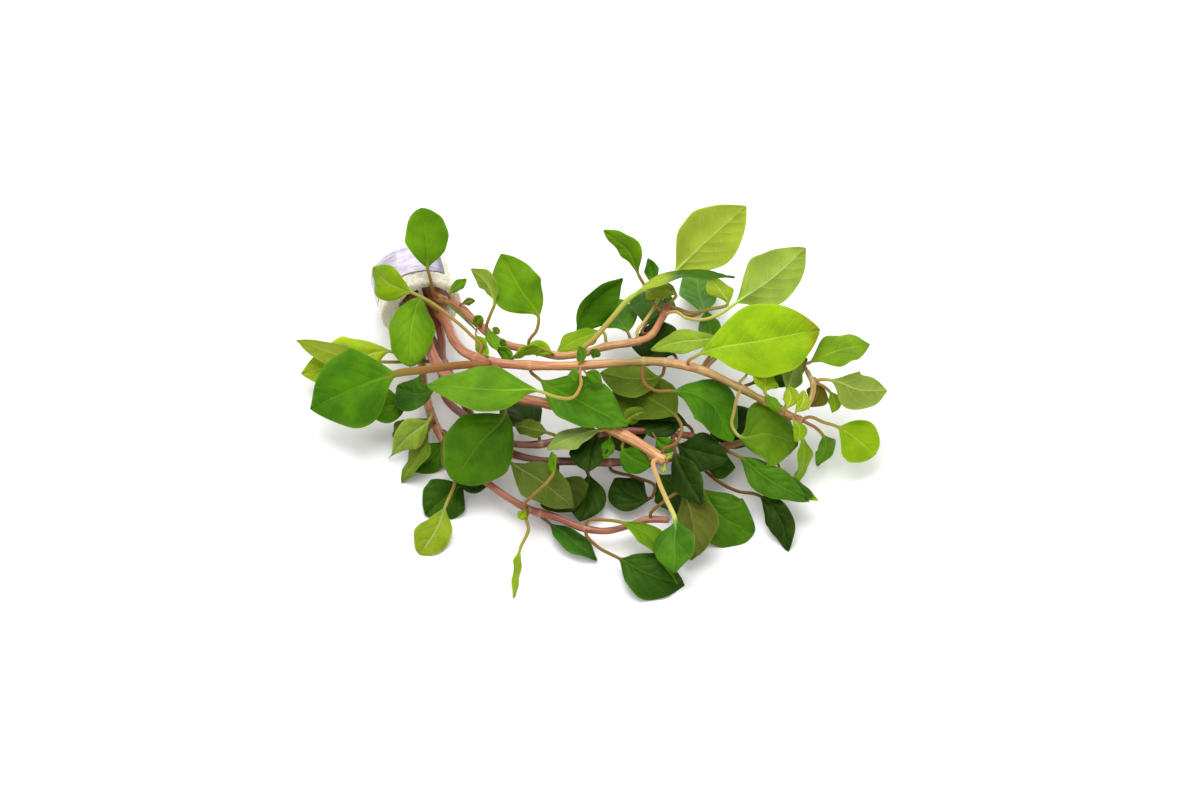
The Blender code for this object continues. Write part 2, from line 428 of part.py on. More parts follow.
def make_foam_plug():
    """A ring of foam: its outer side with a groove for the strip, its two faces and its hole."""
    length = plug_axes()[3]
    angles = np.radians(np.arange(PLUG_SIDES) * 360.0 / PLUG_SIDES)
    groove = STRIP_RADIUS - STRIP_THICKNESS - GAP
    groove_end = STRIP_EDGE + STRIP_WIDTH + GAP
    over_strip = STRIP_THICKNESS + GAP
    outer = [
        round_plug(0.0, groove, angles, lowest=over_strip),
        round_plug(groove_end, groove, angles, lowest=over_strip),
        round_plug(groove_end, PLUG_RADIUS, angles),
        round_plug(length - RIM_ROUNDING, PLUG_RADIUS, angles),
        round_plug(length, PLUG_RADIUS - RIM_ROUNDING, angles, lowest=RIM_ROUNDING),
    ]
    inner = [
        round_plug(length, HOLE_RADIUS + HOLE_ROUNDING, angles, HOLE_OFFSET),
        round_plug(length - HOLE_ROUNDING, HOLE_RADIUS, angles, HOLE_OFFSET),
        round_plug(0.0, HOLE_RADIUS, angles, HOLE_OFFSET),
    ]
    return skin("foam_plug", outer + inner, "foam", joined=True)


def make_metal_strip():
    """A flat strip bent round the plug from STRIP_FROM to STRIP_TO."""
    step = 360.0 / PLUG_SIDES
    angles = np.radians(np.arange(STRIP_FROM, STRIP_TO + step / 2, step))
    inner_radius = STRIP_RADIUS - STRIP_THICKNESS
    edges = (STRIP_EDGE, STRIP_EDGE + STRIP_WIDTH)
    corners = [
        round_plug(edges[0], STRIP_RADIUS, angles),
        round_plug(edges[1], STRIP_RADIUS, angles),
        round_plug(edges[1], inner_radius, angles, lowest=STRIP_THICKNESS),
        round_plug(edges[0], inner_radius, angles, lowest=STRIP_THICKNESS),
    ]
    return skin("metal_strip", np.stack(corners, axis=1), "strip")


def stem_curve(stem):
    """A stem's middle line: straight through the hole of the plug, and then along its route."""
    start = []
    if stem.in_hole is not None:
        back, along, sideways, length = plug_axes()
        place = back + sideways * stem.in_hole[0] + np.array((0.0, 0.0, stem.in_hole[1]))
        straight = (-STEM_BEHIND, HOLE_SHARE * length, length + PAST_PLUG)
        start = [place + along * distance for distance in straight]
    return curve_through(start + [seen(*point) for point in stem.route])


def stem_radii(stem, shares):
    """The radius of a stem at these shares of its length."""
    return stem.radius + (stem.tip_radius - stem.radius) * shares


def growing_place(line, walked, one):
    """Where on its stem a leaf grows, as a share of the stem's length and as a point, and in
    which direction its stalk leaves."""
    towards = seen(*one.stalk[0])
    nearest = np.argmin(np.linalg.norm(line - towards, axis=1))
    return walked[nearest] / walked[-1], line[nearest], unit(towards - line[nearest])


def make_stem(name, stem):
    """A round stem, a little thicker at each place where a leaf grows."""
    line, walked = stem_curve(stem)
    count = max(2, round(walked[-1] / STEM_STEP)) + 1
    distances = np.linspace(0.0, walked[-1], count)
    points, directions = on_curve(line, walked, distances)
    swelling = np.zeros(count)
    for one in LEAVES + GROWN_ON:
        if one.stem == name:
            place = growing_place(line, walked, one)[0] * walked[-1]
            swelling = np.maximum(swelling, np.exp(-((distances - place) / NODE_LENGTH) ** 2))
    radii = stem_radii(stem, distances / walked[-1]) * (1.0 + NODE_SWELLING * swelling)
    sides = carried(directions, 0, unit(np.cross(directions[0], TO_VIEWER)))
    others = np.cross(directions, sides)
    angles = np.arange(STEM_SIDES) * 2.0 * math.pi / STEM_SIDES
    cosines, sines = np.cos(angles)[:, None], np.sin(angles)[:, None]
    around = cosines * sides[:, None] + sines * others[:, None]
    rings = points[:, None] + radii[:, None, None] * around
    return skin(name, rings, stem.colour, sharp=60.0)


def blade_half_width(one, share):
    """Half the width of a blade at a share of its length, full at its widest part."""
    widest, to_base, to_tip = OUTLINES[one.outline]
    if share < widest:
        return one.width / 2.0 * (1.0 - ((widest - share) / widest) ** 2) ** to_base
    return one.width / 2.0 * (1.0 - ((share - widest) / (1.0 - widest)) ** 2) ** to_tip


def make_leaf(one, on_stem=False):
    """A leaf: rings of four points from the foot of its stalk to the tip of its blade, each with
    the two edges of the leaf, and its upper and lower face at the midrib."""
    stem = STEMS[one.stem]
    share, foot, leaving = growing_place(*stem_curve(stem), one)
    stalk = [seen(*point) for point in one.stalk]
    if not on_stem:
        foot = foot + leaving * (stem_radii(stem, share) * (1.0 + NODE_SWELLING) + GAP)
        stalk[0] = foot + leaving * max(np.dot(stalk[0] - foot, leaving), SHORTEST_STRETCH)
    line, walked = curve_through([foot] + stalk + [seen(*point) for point in one.blade])
    base = walked[CURVE_STEPS * (1 + len(stalk))]
    blade_length = walked[-1] - base
    stalk_rings = SMALL_STALK_RINGS if on_stem else STALK_RINGS
    blade_shares = SMALL_BLADE_RINGS if on_stem else BLADE_RINGS
    stalk_places = np.arange(stalk_rings) * base / stalk_rings
    blade_places = base + np.array(blade_shares) * blade_length
    points, directions = on_curve(line, walked, np.concatenate((stalk_places, blade_places)))

    middle = stalk_rings + blade_shares.index(ROLLED_AT)
    flat = unit(np.cross(directions[middle], TO_VIEWER))
    facing = unit(TO_VIEWER - directions[middle] * np.dot(TO_VIEWER, directions[middle]))
    turn = math.radians(one.turn)
    sides = carried(directions, middle, flat * math.cos(turn) + facing * math.sin(turn))
    normals = np.cross(sides, directions)

    rings = []
    cup = math.radians(one.cup)
    shares = [0.0] * stalk_rings + list(blade_shares)
    for share, point, side, normal in zip(shares, points, sides, normals):
        round_part = one.radius * (1.0 - share) ** 2
        half = blade_half_width(one, share)
        least = max(round_part, one.radius * THINNEST)
        right = max(half * (1.0 - one.lean), least)
        left = max(half * (1.0 + one.lean), least)
        thick = max(round_part, BLADE_THICKNESS / 2.0)
        lift = math.sin(cup) * max(half - round_part, 0.0)
        ring = np.array((
            point + side * right * math.cos(cup) + normal * lift,
            point + normal * thick,
            point - side * left * math.cos(cup) + normal * lift,
            point - normal * thick,
        ))
        upper, lower = (1, 3) if normal[2] > 0.0 else (3, 1)
        ring[(0, 2), 2] = np.maximum(ring[(0, 2), 2], EDGE_HEIGHT)
        ring[lower, 2] = max(ring[lower, 2], 0.0)
        ring[upper, 2] = max(ring[upper, 2], TOP_HEIGHT)
        rings.append(ring)
    tip = line[-1].copy()
    tip[2] = max(tip[2], 0.0)
    return skin(one.name, np.array(rings), one.colour, tip)


def unite(target, piece):
    """Make a small leaf one piece with its stem."""
    piece.hide_render = True
    piece.display_type = "WIRE"
    union = target.modifiers.new(piece.name, "BOOLEAN")
    union.operation = "UNION"
    union.object = piece


def main():
    for obj in list(bpy.data.objects):
        bpy.data.objects.remove(obj)
    make_foam_plug()
    make_metal_strip()
    stems = {name: make_stem(name, stem) for name, stem in STEMS.items()}
    for one in LEAVES:
        make_leaf(one)
    for one in GROWN_ON:
        unite(stems[one.stem], make_leaf(one, on_stem=True))


main()
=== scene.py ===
# Ludwigia bunch: the looks of the leaves, stems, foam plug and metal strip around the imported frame
# lengths are in millimetres here, and go into the meshes in metres

import math

import bpy
import numpy as np
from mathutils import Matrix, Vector


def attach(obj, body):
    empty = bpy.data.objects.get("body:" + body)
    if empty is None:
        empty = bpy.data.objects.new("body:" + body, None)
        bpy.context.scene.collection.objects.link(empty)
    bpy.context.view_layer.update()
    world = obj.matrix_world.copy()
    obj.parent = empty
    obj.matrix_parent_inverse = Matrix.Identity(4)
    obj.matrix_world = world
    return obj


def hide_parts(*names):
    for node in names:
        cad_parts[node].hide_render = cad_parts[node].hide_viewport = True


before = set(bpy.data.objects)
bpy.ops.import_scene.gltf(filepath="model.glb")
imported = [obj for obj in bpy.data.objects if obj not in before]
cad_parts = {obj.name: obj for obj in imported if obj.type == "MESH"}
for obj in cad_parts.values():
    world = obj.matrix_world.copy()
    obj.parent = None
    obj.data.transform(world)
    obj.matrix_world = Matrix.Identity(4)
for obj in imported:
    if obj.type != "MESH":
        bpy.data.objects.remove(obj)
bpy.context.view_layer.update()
print("frame loaded:", len(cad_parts), "nodes")

metres = 0.001
viewTilt = math.radians(50.0)  # the photo looks down this steeply
middle = (-2.7, -12.1)  # middle of the bunch in the view, which is the frame's origin
toViewer = np.array((0.0, -math.cos(viewTilt), math.sin(viewTilt)))

# look of the set: a white table under a broad soft light
studio = dict(
    floorSize=3.0, floorColour=(0.97, 0.97, 0.965), worldStrength=0.95,
    keyPlace=(-0.10, 0.30, 0.95), keySize=0.9, keyPower=7.0,
    fillPlace=(0.5, -0.8, 0.6), fillSize=0.8, fillPower=0.8,
    lens=500.0, frameWidth=0.36, target=(0.0027, 0.0121, 0.0),
)

# what the leaves have in common
leafMake = dict(
    thickness=0.34,  # of the blade between its veins
    columns=26,  # across the upper side, and as many across the underside
    ringStep=0.6, stalkStep=0.8,
    sink=0.9,  # how far the foot of a stalk reaches into its stem
    groove=0.22, ribDrop=0.32,  # midrib, sunk above and raised below
    quilt=0.24, vein=0.09,  # swelling between the side veins, and depth of the veins
    veinStep=4.4,  # between two side veins on the midrib
    veinLean=0.85,  # how far a side vein runs toward the tip, as a share of its way outward
    swelling=0.16, nodeLength=3.0, gap=0.35,  # as on the solids
    edgeHeight=0.12,
)

# outline of a blade: place of its widest part, and how fast it narrows to the base and the tip
outlines = dict(
    ovate=(0.47, 1.7, 0.95), round=(0.5, 1.3, 0.6), lance=(0.48, 1.7, 1.1),
    spoon=(0.6, 1.8, 0.7), tailed=(0.34, 1.5, 2.2), broad=(0.54, 1.6, 0.8),
)

stems = {
    "stem_top": dict(radius=1.7, tipRadius=1.0, inHole=(4.6, 1.9), route=[(-46.2, 23.4, 15),
        (-43.2, 17.1, 19), (-39, 13.5, 24), (-33, 11.4, 27), (-24, 10.5, 28.5), (-7.5, 10.2, 29),
        (6, 11.1, 29), (18, 11.4, 28.5), (30, 9, 27.5), (40.5, 4.2, 25.5), (49.5, -0.6, 23),
        (57, -4.8, 20.5), (60, -6, 19.5)]),
    "stem_back": dict(radius=1.4, tipRadius=1.05, inHole=(5.2, 5.6), route=[(-43.5, 29.1, 20),
        (-37.2, 23.4, 21), (-28.5, 16.8, 22), (-19.5, 14.7, 22.5), (-12, 13.2, 22.5), (-6, 13.8, 22.5),
        (1.5, 15.9, 23), (9, 17.1, 23.5), (14.4, 18.6, 24), (18, 23.4, 24.5), (20.4, 28.2, 25)]),
    "stem_middle": dict(radius=1.35, tipRadius=1.0, inHole=(3.6, -1.8), route=[(-48, 21, 11),
        (-47.4, 13.5, 12), (-47.1, 6, 13), (-45.6, 0, 14), (-39.6, -5.4, 14.5), (-33, -10.2, 14.5),
        (-26.4, -12.9, 14.5), (-18, -13.2, 14.5), (-12, -12, 14.5), (0, -9.9, 15), (16.5, -9.3, 15),
        (27, -10.8, 14), (33.6, -12.3, 12.5)]),
    "stem_low": dict(radius=1.3, tipRadius=1.0, inHole=(-3.2, -1.0), route=[(-54, 15, 8),
        (-52.5, 3, 6.5), (-48.6, -9, 6), (-41.4, -19.2, 6), (-33, -25.2, 6.5), (-27, -29.4, 6.2),
        (-21.6, -32.4, 6), (-13.5, -34.8, 6), (-5.1, -38.1, 5.5), (1.5, -39, 5.5), (8.4, -37.5, 5),
        (13.5, -35.7, 5), (20.4, -35.7, 5)]),
    "stem_cut": dict(radius=1.8, tipRadius=1.6, inHole=(-2.4, 2.6), route=[(-52.5, 19.5, 15),
        (-48.6, 10.5, 16.5), (-42, 4.5, 18.5), (-30, 1.5, 19), (-18, -0.6, 19), (-7.5, -3.3, 19),
        (3.6, -8.7, 19.5), (12, -13.2, 20), (19.5, -18.3, 20.5)]),
    "stem_dark": dict(radius=1.45, tipRadius=1.0, inHole=(-0.2, -2.7), route=[(-48.6, 15, 9),
        (-42.6, 3, 9.5), (-36.6, -7.5, 9.5), (-28.5, -15, 10), (-18, -18, 10.5), (-7.5, -18.3, 10.5),
        (3.6, -18.6, 10.5), (15, -18, 10.5), (27, -16.5, 10.5), (36.6, -14.1, 10), (45, -12, 9),
        (52.5, -10.2, 8)]),
    "stem_tip": dict(radius=0.9, tipRadius=0.7, inHole=None, route=[(61.5, -2.4, 22), (63, 0.6, 23),
        (63.6, 4.2, 24.5), (61.8, 8.7, 26)]),
}

# leaves that have a node of their own
leaves = {
    "tall_leaf_1": dict(stem="stem_back", width=13.5, turn=-8, look="fresh", cup=8, outline="round",
        rib=0.35, quilt=0.7, stalk=[(-49.8, 31.8, 21), (-50.7, 35.7, 26)],
        blade=[(-51.6, 39.3, 30), (-51.9, 48, 36), (-53.7, 57.6, 42)]),
    "tall_leaf_2": dict(stem="stem_top", width=11, turn=25, look="bright", wave=0.5,
        stalk=[(-35.4, 15, 27), (-39, 19.8, 27), (-44.4, 24.6, 26.5), (-50.4, 29.1, 26.5)],
        blade=[(-56.1, 32.1, 27.5), (-63.3, 34.8, 28.5), (-68.1, 39.9, 28)]),
    "tall_leaf_3": dict(stem="stem_top", width=14, turn=0, look="fresh", cup=-12, outline="round",
        tint=(1.15, 1.1, 1.0), quilt=1.3, stalk=[(-50.7, 28.2, 19)],
        blade=[(-52.8, 30.3, 21.5), (-56.1, 23.4, 22), (-56.7, 9.9, 17)]),
    "tall_leaf_4": dict(stem="stem_back", width=8, turn=-132, look="pale", tint=(0.95, 1.0, 0.8),
        stalk=[(-33.9, 22.5, 24), (-32.7, 25.8, 28)],
        blade=[(-31.5, 29.1, 31.5), (-33, 33.6, 35), (-38.7, 39.3, 38)]),
    "tall_leaf_5": dict(stem="stem_back", width=16, turn=-15, look="fresh", lean=0.1,
        tint=(1.15, 1.1, 1.0), wave=0.6, waves=2.6, stalk=[(-21.3, 17.1, 24.5), (-18.9, 21, 26)],
        blade=[(-18.3, 24, 27.5), (-24.0, 33.3, 32), (-29.7, 43.8, 37)]),
    "left_leaf_1": dict(stem="stem_middle", width=9.5, turn=140, look="fresh", outline="lance",
        tint=(1.2, 1.12, 1.0), rib=0.8, stalk=[(-50.4, 11.4, 13.5), (-58.5, 11.4, 13)],
        blade=[(-64.5, 11.4, 13), (-76.5, 12.9, 14), (-91.2, 18, 14)]),
    "left_leaf_2": dict(stem="stem_low", width=16, turn=-20, look="lime",
        stalk=[(-55.8, 12.9, 8.5), (-59.4, 13.2, 9.5)],
        blade=[(-62.1, 14.4, 10), (-75, 11.4, 9.5), (-89.7, 7.8, 7)]),
    "left_leaf_3": dict(stem="stem_top", width=24, turn=-12, look="mid", radius=1.2, quilt=1.5, wave=0.7,
        stalk=[(-34.8, 10.2, 29), (-39, 10.5, 29), (-43.5, 10.2, 28), (-52.5, 9, 25.5)],
        blade=[(-60, 8.1, 22.5), (-71.4, 4.2, 18), (-86.7, -2.7, 11)]),
    "left_leaf_4": dict(stem="stem_low", width=11, turn=-20, look="mid", stalk=[(-54.6, 0, 8)],
        blade=[(-57.3, -0.6, 9), (-63, -1.8, 9.5), (-70.2, -2.4, 8)]),
    "left_leaf_5": dict(stem="stem_middle", width=13, turn=-25, look="deep", stalk=[(-47.1, 2.7, 16)],
        blade=[(-49.2, 3, 16.8), (-54, 1.8, 15.5), (-60.9, 3.9, 13.5)]),
    "left_leaf_6": dict(stem="stem_low", width=9, turn=12, look="pale", outline="tailed",
        tint=(1.15, 1.1, 1.6), stalk=[(-50.1, -2.7, 9)],
        blade=[(-51, -6, 11.5), (-56.4, -10.2, 9.8), (-63.3, -17.7, 0.6)]),
    "left_leaf_7": dict(stem="stem_low", width=10, turn=-58, look="olive", tint=(1.2, 1.3, 1.0),
        stalk=[(-49.8, -6.3, 8.5)], blade=[(-51.3, -8.7, 7.9), (-53.7, -15.9, 4.4), (-59.4, -24.9, 0)]),
    "middle_leaf_1": dict(stem="stem_top", width=18, turn=-42, look="fresh", tint=(1.0, 1.08, 1.0),
        wave=0.7, waves=1.6, ribRed=0.42, rib=0.9, stalkTint=(1.6, 1.9, 2.0),
        stalk=[(-6, 7.8, 30.5), (-5.7, 4.5, 31.5), (-8.4, 0.6, 31.5), (-13.2, 0.9, 31.5)],
        blade=[(-17.4, 2.4, 31.5), (-32.4, 3, 32), (-51.6, 4.5, 30)]),
    "middle_leaf_2": dict(stem="stem_top", width=17, turn=28, look="mid", quilt=1.3,
        stalk=[(-20.7, 8.7, 26.5)], blade=[(-18.6, 6.6, 25.5), (-5.4, -0.6, 24.5), (8.4, -7.8, 22.5)]),
    "middle_leaf_3": dict(stem="stem_cut", width=12, turn=122, look="bright", tint=(0.95, 0.98, 3.0),
        stalk=[(2.7, -8.7, 21.6)], blade=[(0.6, -9, 21), (-6.6, -10.5, 19), (-15.9, -14.7, 17.5)]),
    "middle_leaf_4": dict(stem="stem_cut", width=22, turn=5, look="mid", cup=-8, lean=0.12,
        outline="round", tint=(0.95, 0.9, 1.5), quilt=1.2, wave=0.6, stalk=[(-29.4, 0, 21.8)],
        blade=[(-28.2, -3.3, 22), (-36.6, -13.8, 19.5), (-43.5, -24.3, 11)]),
    "middle_leaf_5": dict(stem="stem_dark", width=14, turn=-155, look="olive", tint=(0.75, 0.85, 1.0),
        rib=1.0, stalk=[(-28.5, -16.8, 12.5)],
        blade=[(-27, -18.3, 13), (-18, -24, 12.5), (-7.8, -32.1, 9)]),
    "middle_leaf_6": dict(stem="stem_low", width=5, turn=55, look="fresh",
        stalk=[(-22.5, -30.9, 10.5), (-19.8, -28.2, 15), (-15.3, -24, 17.3)],
        blade=[(-14.1, -22.2, 17), (-14.1, -18.6, 16.5), (-14.4, -15.6, 15.5)]),
    "middle_leaf_7": dict(stem="stem_dark", width=13, turn=0, look="dark", stalk=[(-4.2, -20.1, 8.5)],
        blade=[(-3.6, -21.9, 7), (-4.2, -29.1, 4.5), (-6, -36.3, 2.5)]),
    "centre_leaf_1": dict(stem="stem_back", width=14, turn=-40, look="mid", cup=25, wave=0.5,
        stalk=[(-6.9, 15.3, 19.5)], blade=[(-7.2, 17.7, 17.5), (-4.8, 25.5, 19.5), (6.9, 36.6, 24)]),
    "centre_leaf_2": dict(stem="stem_back", width=9, turn=-45, look="bright", stalk=[(1.8, 17.4, 20.5)],
        blade=[(1.2, 20.1, 20.5), (-4.8, 18.6, 20.8), (-12.9, 14.4, 20)]),
    "centre_leaf_3": dict(stem="stem_top", width=13, turn=150, look="olive", tint=(0.75, 0.95, 0.6),
        stalk=[(19.2, 9.6, 26)], blade=[(18.6, 7.5, 23.3), (10.2, 6.3, 22.8), (0, 8.1, 22.6)]),
    "centre_leaf_4": dict(stem="stem_top", width=17, turn=35, look="mid", tint=(0.85, 0.92, 1.0),
        stalk=[(12.6, 9.3, 28), (13.2, 5.1, 26), (16.8, 2.7, 25)],
        blade=[(21, 2.7, 24.5), (31.2, 0.3, 23.5), (39.6, -12.6, 16.5)]),
    "centre_leaf_5": dict(stem="stem_cut", width=18, turn=150, look="olive", tint=(0.6, 0.75, 0.4),
        stalk=[(18.6, -15.6, 22.3), (22.2, -13.2, 23), (24.3, -9.3, 23)],
        blade=[(23.1, -5.4, 21), (15, 0.3, 19.5), (3.3, 5.7, 18)]),
    "top_leaf_1": dict(stem="stem_back", width=8, turn=38, look="fresh", lean=-0.25,
        tint=(1.2, 1.15, 1.0), stalk=[(17.1, 27.6, 26.9), (14.4, 32.7, 26.3)],
        blade=[(11.7, 37.2, 29), (9, 43.8, 34), (0.9, 51, 38)]),
    "top_leaf_2": dict(stem="stem_back", width=19, turn=172, look="lime", cup=-10, wave=0.9, waves=1.3,
        rib=1.0, stalkTint=(1.5, 1.8, 2.0),
        stalk=[(11.1, 19.5, 25.5), (13.5, 23.7, 25.5), (16.8, 28.8, 24.2), (19.2, 35.1, 25.2)],
        blade=[(21.9, 37.8, 27), (30.6, 46.5, 34), (43.8, 58.2, 44)]),
    "top_leaf_3": dict(stem="stem_top", width=10, turn=72, look="lime", radius=0.8,
        tint=(0.95, 0.95, 1.5), tip=(0.14, 0.3, 0.3), tipFrom=0.35, stalkTint=(1.1, 1.2, 1.2),
        stalk=[(-6.3, 12.6, 29.5), (-0.9, 19.2, 29.5), (4.2, 25.2, 30)],
        blade=[(8.7, 30.3, 31), (24, 37.2, 34), (40.5, 36.6, 33)]),
    "top_leaf_4": dict(stem="stem_back", width=12, turn=0, look="mid", rib=0.9,
        stalk=[(21.9, 27.3, 22.5), (26.4, 25.2, 18)],
        blade=[(30, 26.1, 14.5), (29.7, 33, 7), (28.8, 41.1, 0)]),
    "top_leaf_5": dict(stem="stem_back", width=8, turn=-30, look="lime",
        stalk=[(22.5, 27.6, 25), (27.6, 26.1, 24.5), (33.6, 27.3, 24)],
        blade=[(38.1, 28.5, 23.5), (36, 32.7, 23), (32.7, 36.6, 22)]),
    "top_leaf_6": dict(stem="stem_back", width=16, turn=175, look="lime", tint=(0.8, 0.88, 1.3), rib=1.0,
        wave=0.8, stalkTint=(1.5, 1.8, 2.0),
        stalk=[(22.8, 26.4, 27.5), (25.8, 24.6, 27.8), (30.6, 24, 27.8), (36, 25.8, 28)],
        blade=[(39.9, 28.5, 28.5), (49.2, 34.8, 31), (61.8, 45.6, 36)]),
    "top_leaf_7": dict(stem="stem_top", width=23, turn=12, look="bright", outline="broad",
        tint=(1.15, 1.15, 1.0), wave=0.8, waves=1.5, tip=(1.05, 0.7, 1.0), stalk=[(26.4, 11.7, 31)],
        blade=[(28.8, 13.2, 31.6), (48.6, 17.7, 34), (65.7, 21, 33)]),
    "top_leaf_8": dict(stem="stem_top", width=9, turn=-40, look="pale",
        stalk=[(32.4, 10.2, 26), (36, 14.4, 25.5)],
        blade=[(36.6, 17.1, 26), (27.6, 17.7, 27), (15, 15, 27)]),
    "right_leaf_1": dict(stem="stem_tip", width=14, turn=45, look="fresh", tint=(1.5, 1.15, 3.0),
        wave=0.6, stalk=[(61.2, 10.2, 27)], blade=[(62.4, 11.1, 26.5), (72, 15, 27), (80.7, 16.5, 26)]),
    "right_leaf_2": dict(stem="stem_tip", width=13, turn=-150, look="pale", tint=(0.95, 0.95, 1.0),
        wave=0.6, stalk=[(65.1, 6, 25)], blade=[(68.4, 6, 24.5), (77.1, 3, 23), (85.8, 2.7, 21)]),
    "right_leaf_3": dict(stem="stem_top", width=14, turn=15, look="bright", outline="round",
        tint=(1.2, 1.2, 1.0), stalk=[(62.1, -5.1, 19.5), (66.6, -6.6, 17.5)],
        blade=[(71.1, -8.1, 14.5), (76.8, -12, 11), (82.2, -16.5, 7)]),
    "right_leaf_4": dict(stem="stem_top", width=7, turn=40, look="fresh", tint=(0.9, 1.0, 1.0),
        stalk=[(61.8, -6.9, 18.5), (64.5, -8.4, 15.5)],
        blade=[(66.3, -10.2, 13), (67.5, -14.1, 7), (64.8, -19.8, 0.4)]),
    "right_leaf_5": dict(stem="stem_top", width=7, turn=55, look="bright", tint=(0.9, 0.95, 1.0),
        stalk=[(59.7, -7.8, 18)], blade=[(60, -9.9, 15), (60.9, -17.4, 8.5), (58.5, -24.9, 0)]),
    "right_leaf_6": dict(stem="stem_top", width=21, turn=20, look="fresh", tint=(0.95, 0.85, 3.0),
        quilt=1.4, wave=0.7, stalkTint=(1.5, 2.0, 2.5),
        stalk=[(41.1, 1.5, 26), (39.9, -3.6, 22.5), (39.3, -7.5, 19.5)],
        blade=[(41.1, -10.5, 17.6), (49.8, -10.2, 16.4), (59.1, -13.5, 11.5)]),
    "right_leaf_7": dict(stem="stem_top", width=9, turn=150, look="pale", tint=(0.8, 0.9, 0.8),
        stalk=[(55.5, -1.5, 23)], blade=[(55.8, 1.8, 24.2), (57, 7.5, 24.6), (61.2, 13.8, 25)]),
    "front_leaf_1": dict(stem="stem_low", width=11, turn=-12, look="bright", outline="spoon",
        tint=(1.25, 1.0, 4.0), rib=1.0, ribRed=0.9, stalk=[(-42, -21.6, 7), (-43.8, -26.4, 6)],
        blade=[(-45.9, -31.2, 5), (-48.6, -38.4, 3), (-53.7, -46.2, 0)]),
    "front_leaf_2": dict(stem="stem_low", width=14.5, turn=-15, look="deep", tint=(0.75, 0.75, 1.0),
        stalk=[(-39.6, -22.2, 4)], blade=[(-40.8, -24.6, 3.5), (-45.3, -28.5, 2.6), (-52.2, -34.5, 0.6)]),
    "front_leaf_3": dict(stem="stem_low", width=5, turn=60, look="bright", tint=(1.2, 1.1, 2.0),
        stalk=[(-21.9, -34.5, 6.5), (-21.3, -38.7, 7)],
        blade=[(-23.7, -44.1, 5.5), (-25.2, -51.6, 3.5), (-25.8, -59.1, 0)]),
    # the strong blue in this tint gives a teal cast: the leaf's green plus a painted bluish sheen
    "front_leaf_4": dict(stem="stem_low", width=9, turn=45, look="deep", tint=(1.0, 1.05, 12.0),
        stalk=[(-17.4, -34.8, 3.5)], blade=[(-15.6, -36.3, 3), (-8.4, -42, 2), (-0.9, -48, 0.8)]),
    "front_leaf_5": dict(stem="stem_low", width=9, turn=40, look="fresh", outline="tailed",
        stalk=[(-3.9, -36.3, 7.5), (1.2, -35.7, 8.5)],
        blade=[(6, -36.3, 8.5), (14.4, -40.2, 7.5), (23.1, -54.9, 2)]),
    "front_leaf_6": dict(stem="stem_low", width=16, turn=25, look="deep", tint=(0.7, 0.75, 1.0),
        wave=0.7, stalk=[(-4.2, -39.6, 6.3), (-0.9, -43.5, 5.5)],
        blade=[(5.1, -46.8, 4.6), (14.7, -51.9, 3.2), (25.2, -55.2, 0)]),
    "front_leaf_7": dict(stem="stem_cut", width=14, turn=-25, look="mid", radius=0.7,
        tint=(1.05, 1.0, 6.0), stalkTint=(2.4, 3.6, 4.5),
        stalk=[(15.9, -18.3, 22), (17.1, -23.1, 20), (19.8, -29.7, 16)],
        blade=[(22.2, -35.1, 13.5), (22.2, -42.9, 11), (22.5, -51.3, 8)]),
    "front_leaf_8": dict(stem="stem_low", width=16, turn=150, look="olive", tint=(0.9, 0.85, 1.0),
        stalk=[(15, -34.2, 7), (18.6, -30.6, 9)],
        blade=[(23.4, -27.6, 10.5), (27.9, -36.6, 8), (27, -47.7, 4)]),
    "front_leaf_9": dict(stem="stem_dark", width=17.5, turn=20, look="mid", tint=(0.8, 0.8, 1.0),
        outline="round", quilt=1.3, wave=0.6, stalk=[(25.2, -18.6, 8.3), (27.6, -22.8, 7)],
        blade=[(30.3, -26.4, 5.5), (37.2, -35.7, 3.2), (46.2, -39.3, 0)]),
    "front_leaf_10": dict(stem="stem_middle", width=10, turn=-20, look="dark", stalk=[(21.9, -11.4, 17)],
        blade=[(22.2, -15, 16.5), (25.5, -22.8, 15), (30.6, -31.2, 13)]),
    "front_leaf_11": dict(stem="stem_dark", width=8.5, turn=-12, look="dark", cup=8,
        tint=(1.3, 1.2, 1.0), wave=0.5, stalk=[(29.4, -18, 9.5), (34.5, -23.7, 7.5), (41.4, -27.3, 7)],
        blade=[(46.8, -28.2, 7), (53.7, -35.7, 5), (56.1, -45.3, 0)]),
    "front_leaf_12": dict(stem="stem_dark", width=10.5, turn=25, look="mid", tint=(0.85, 0.85, 1.0),
        stalk=[(38.1, -15.3, 12)], blade=[(40.8, -16.5, 12), (50.1, -23.7, 11.1), (62.4, -30.3, 8)]),
}

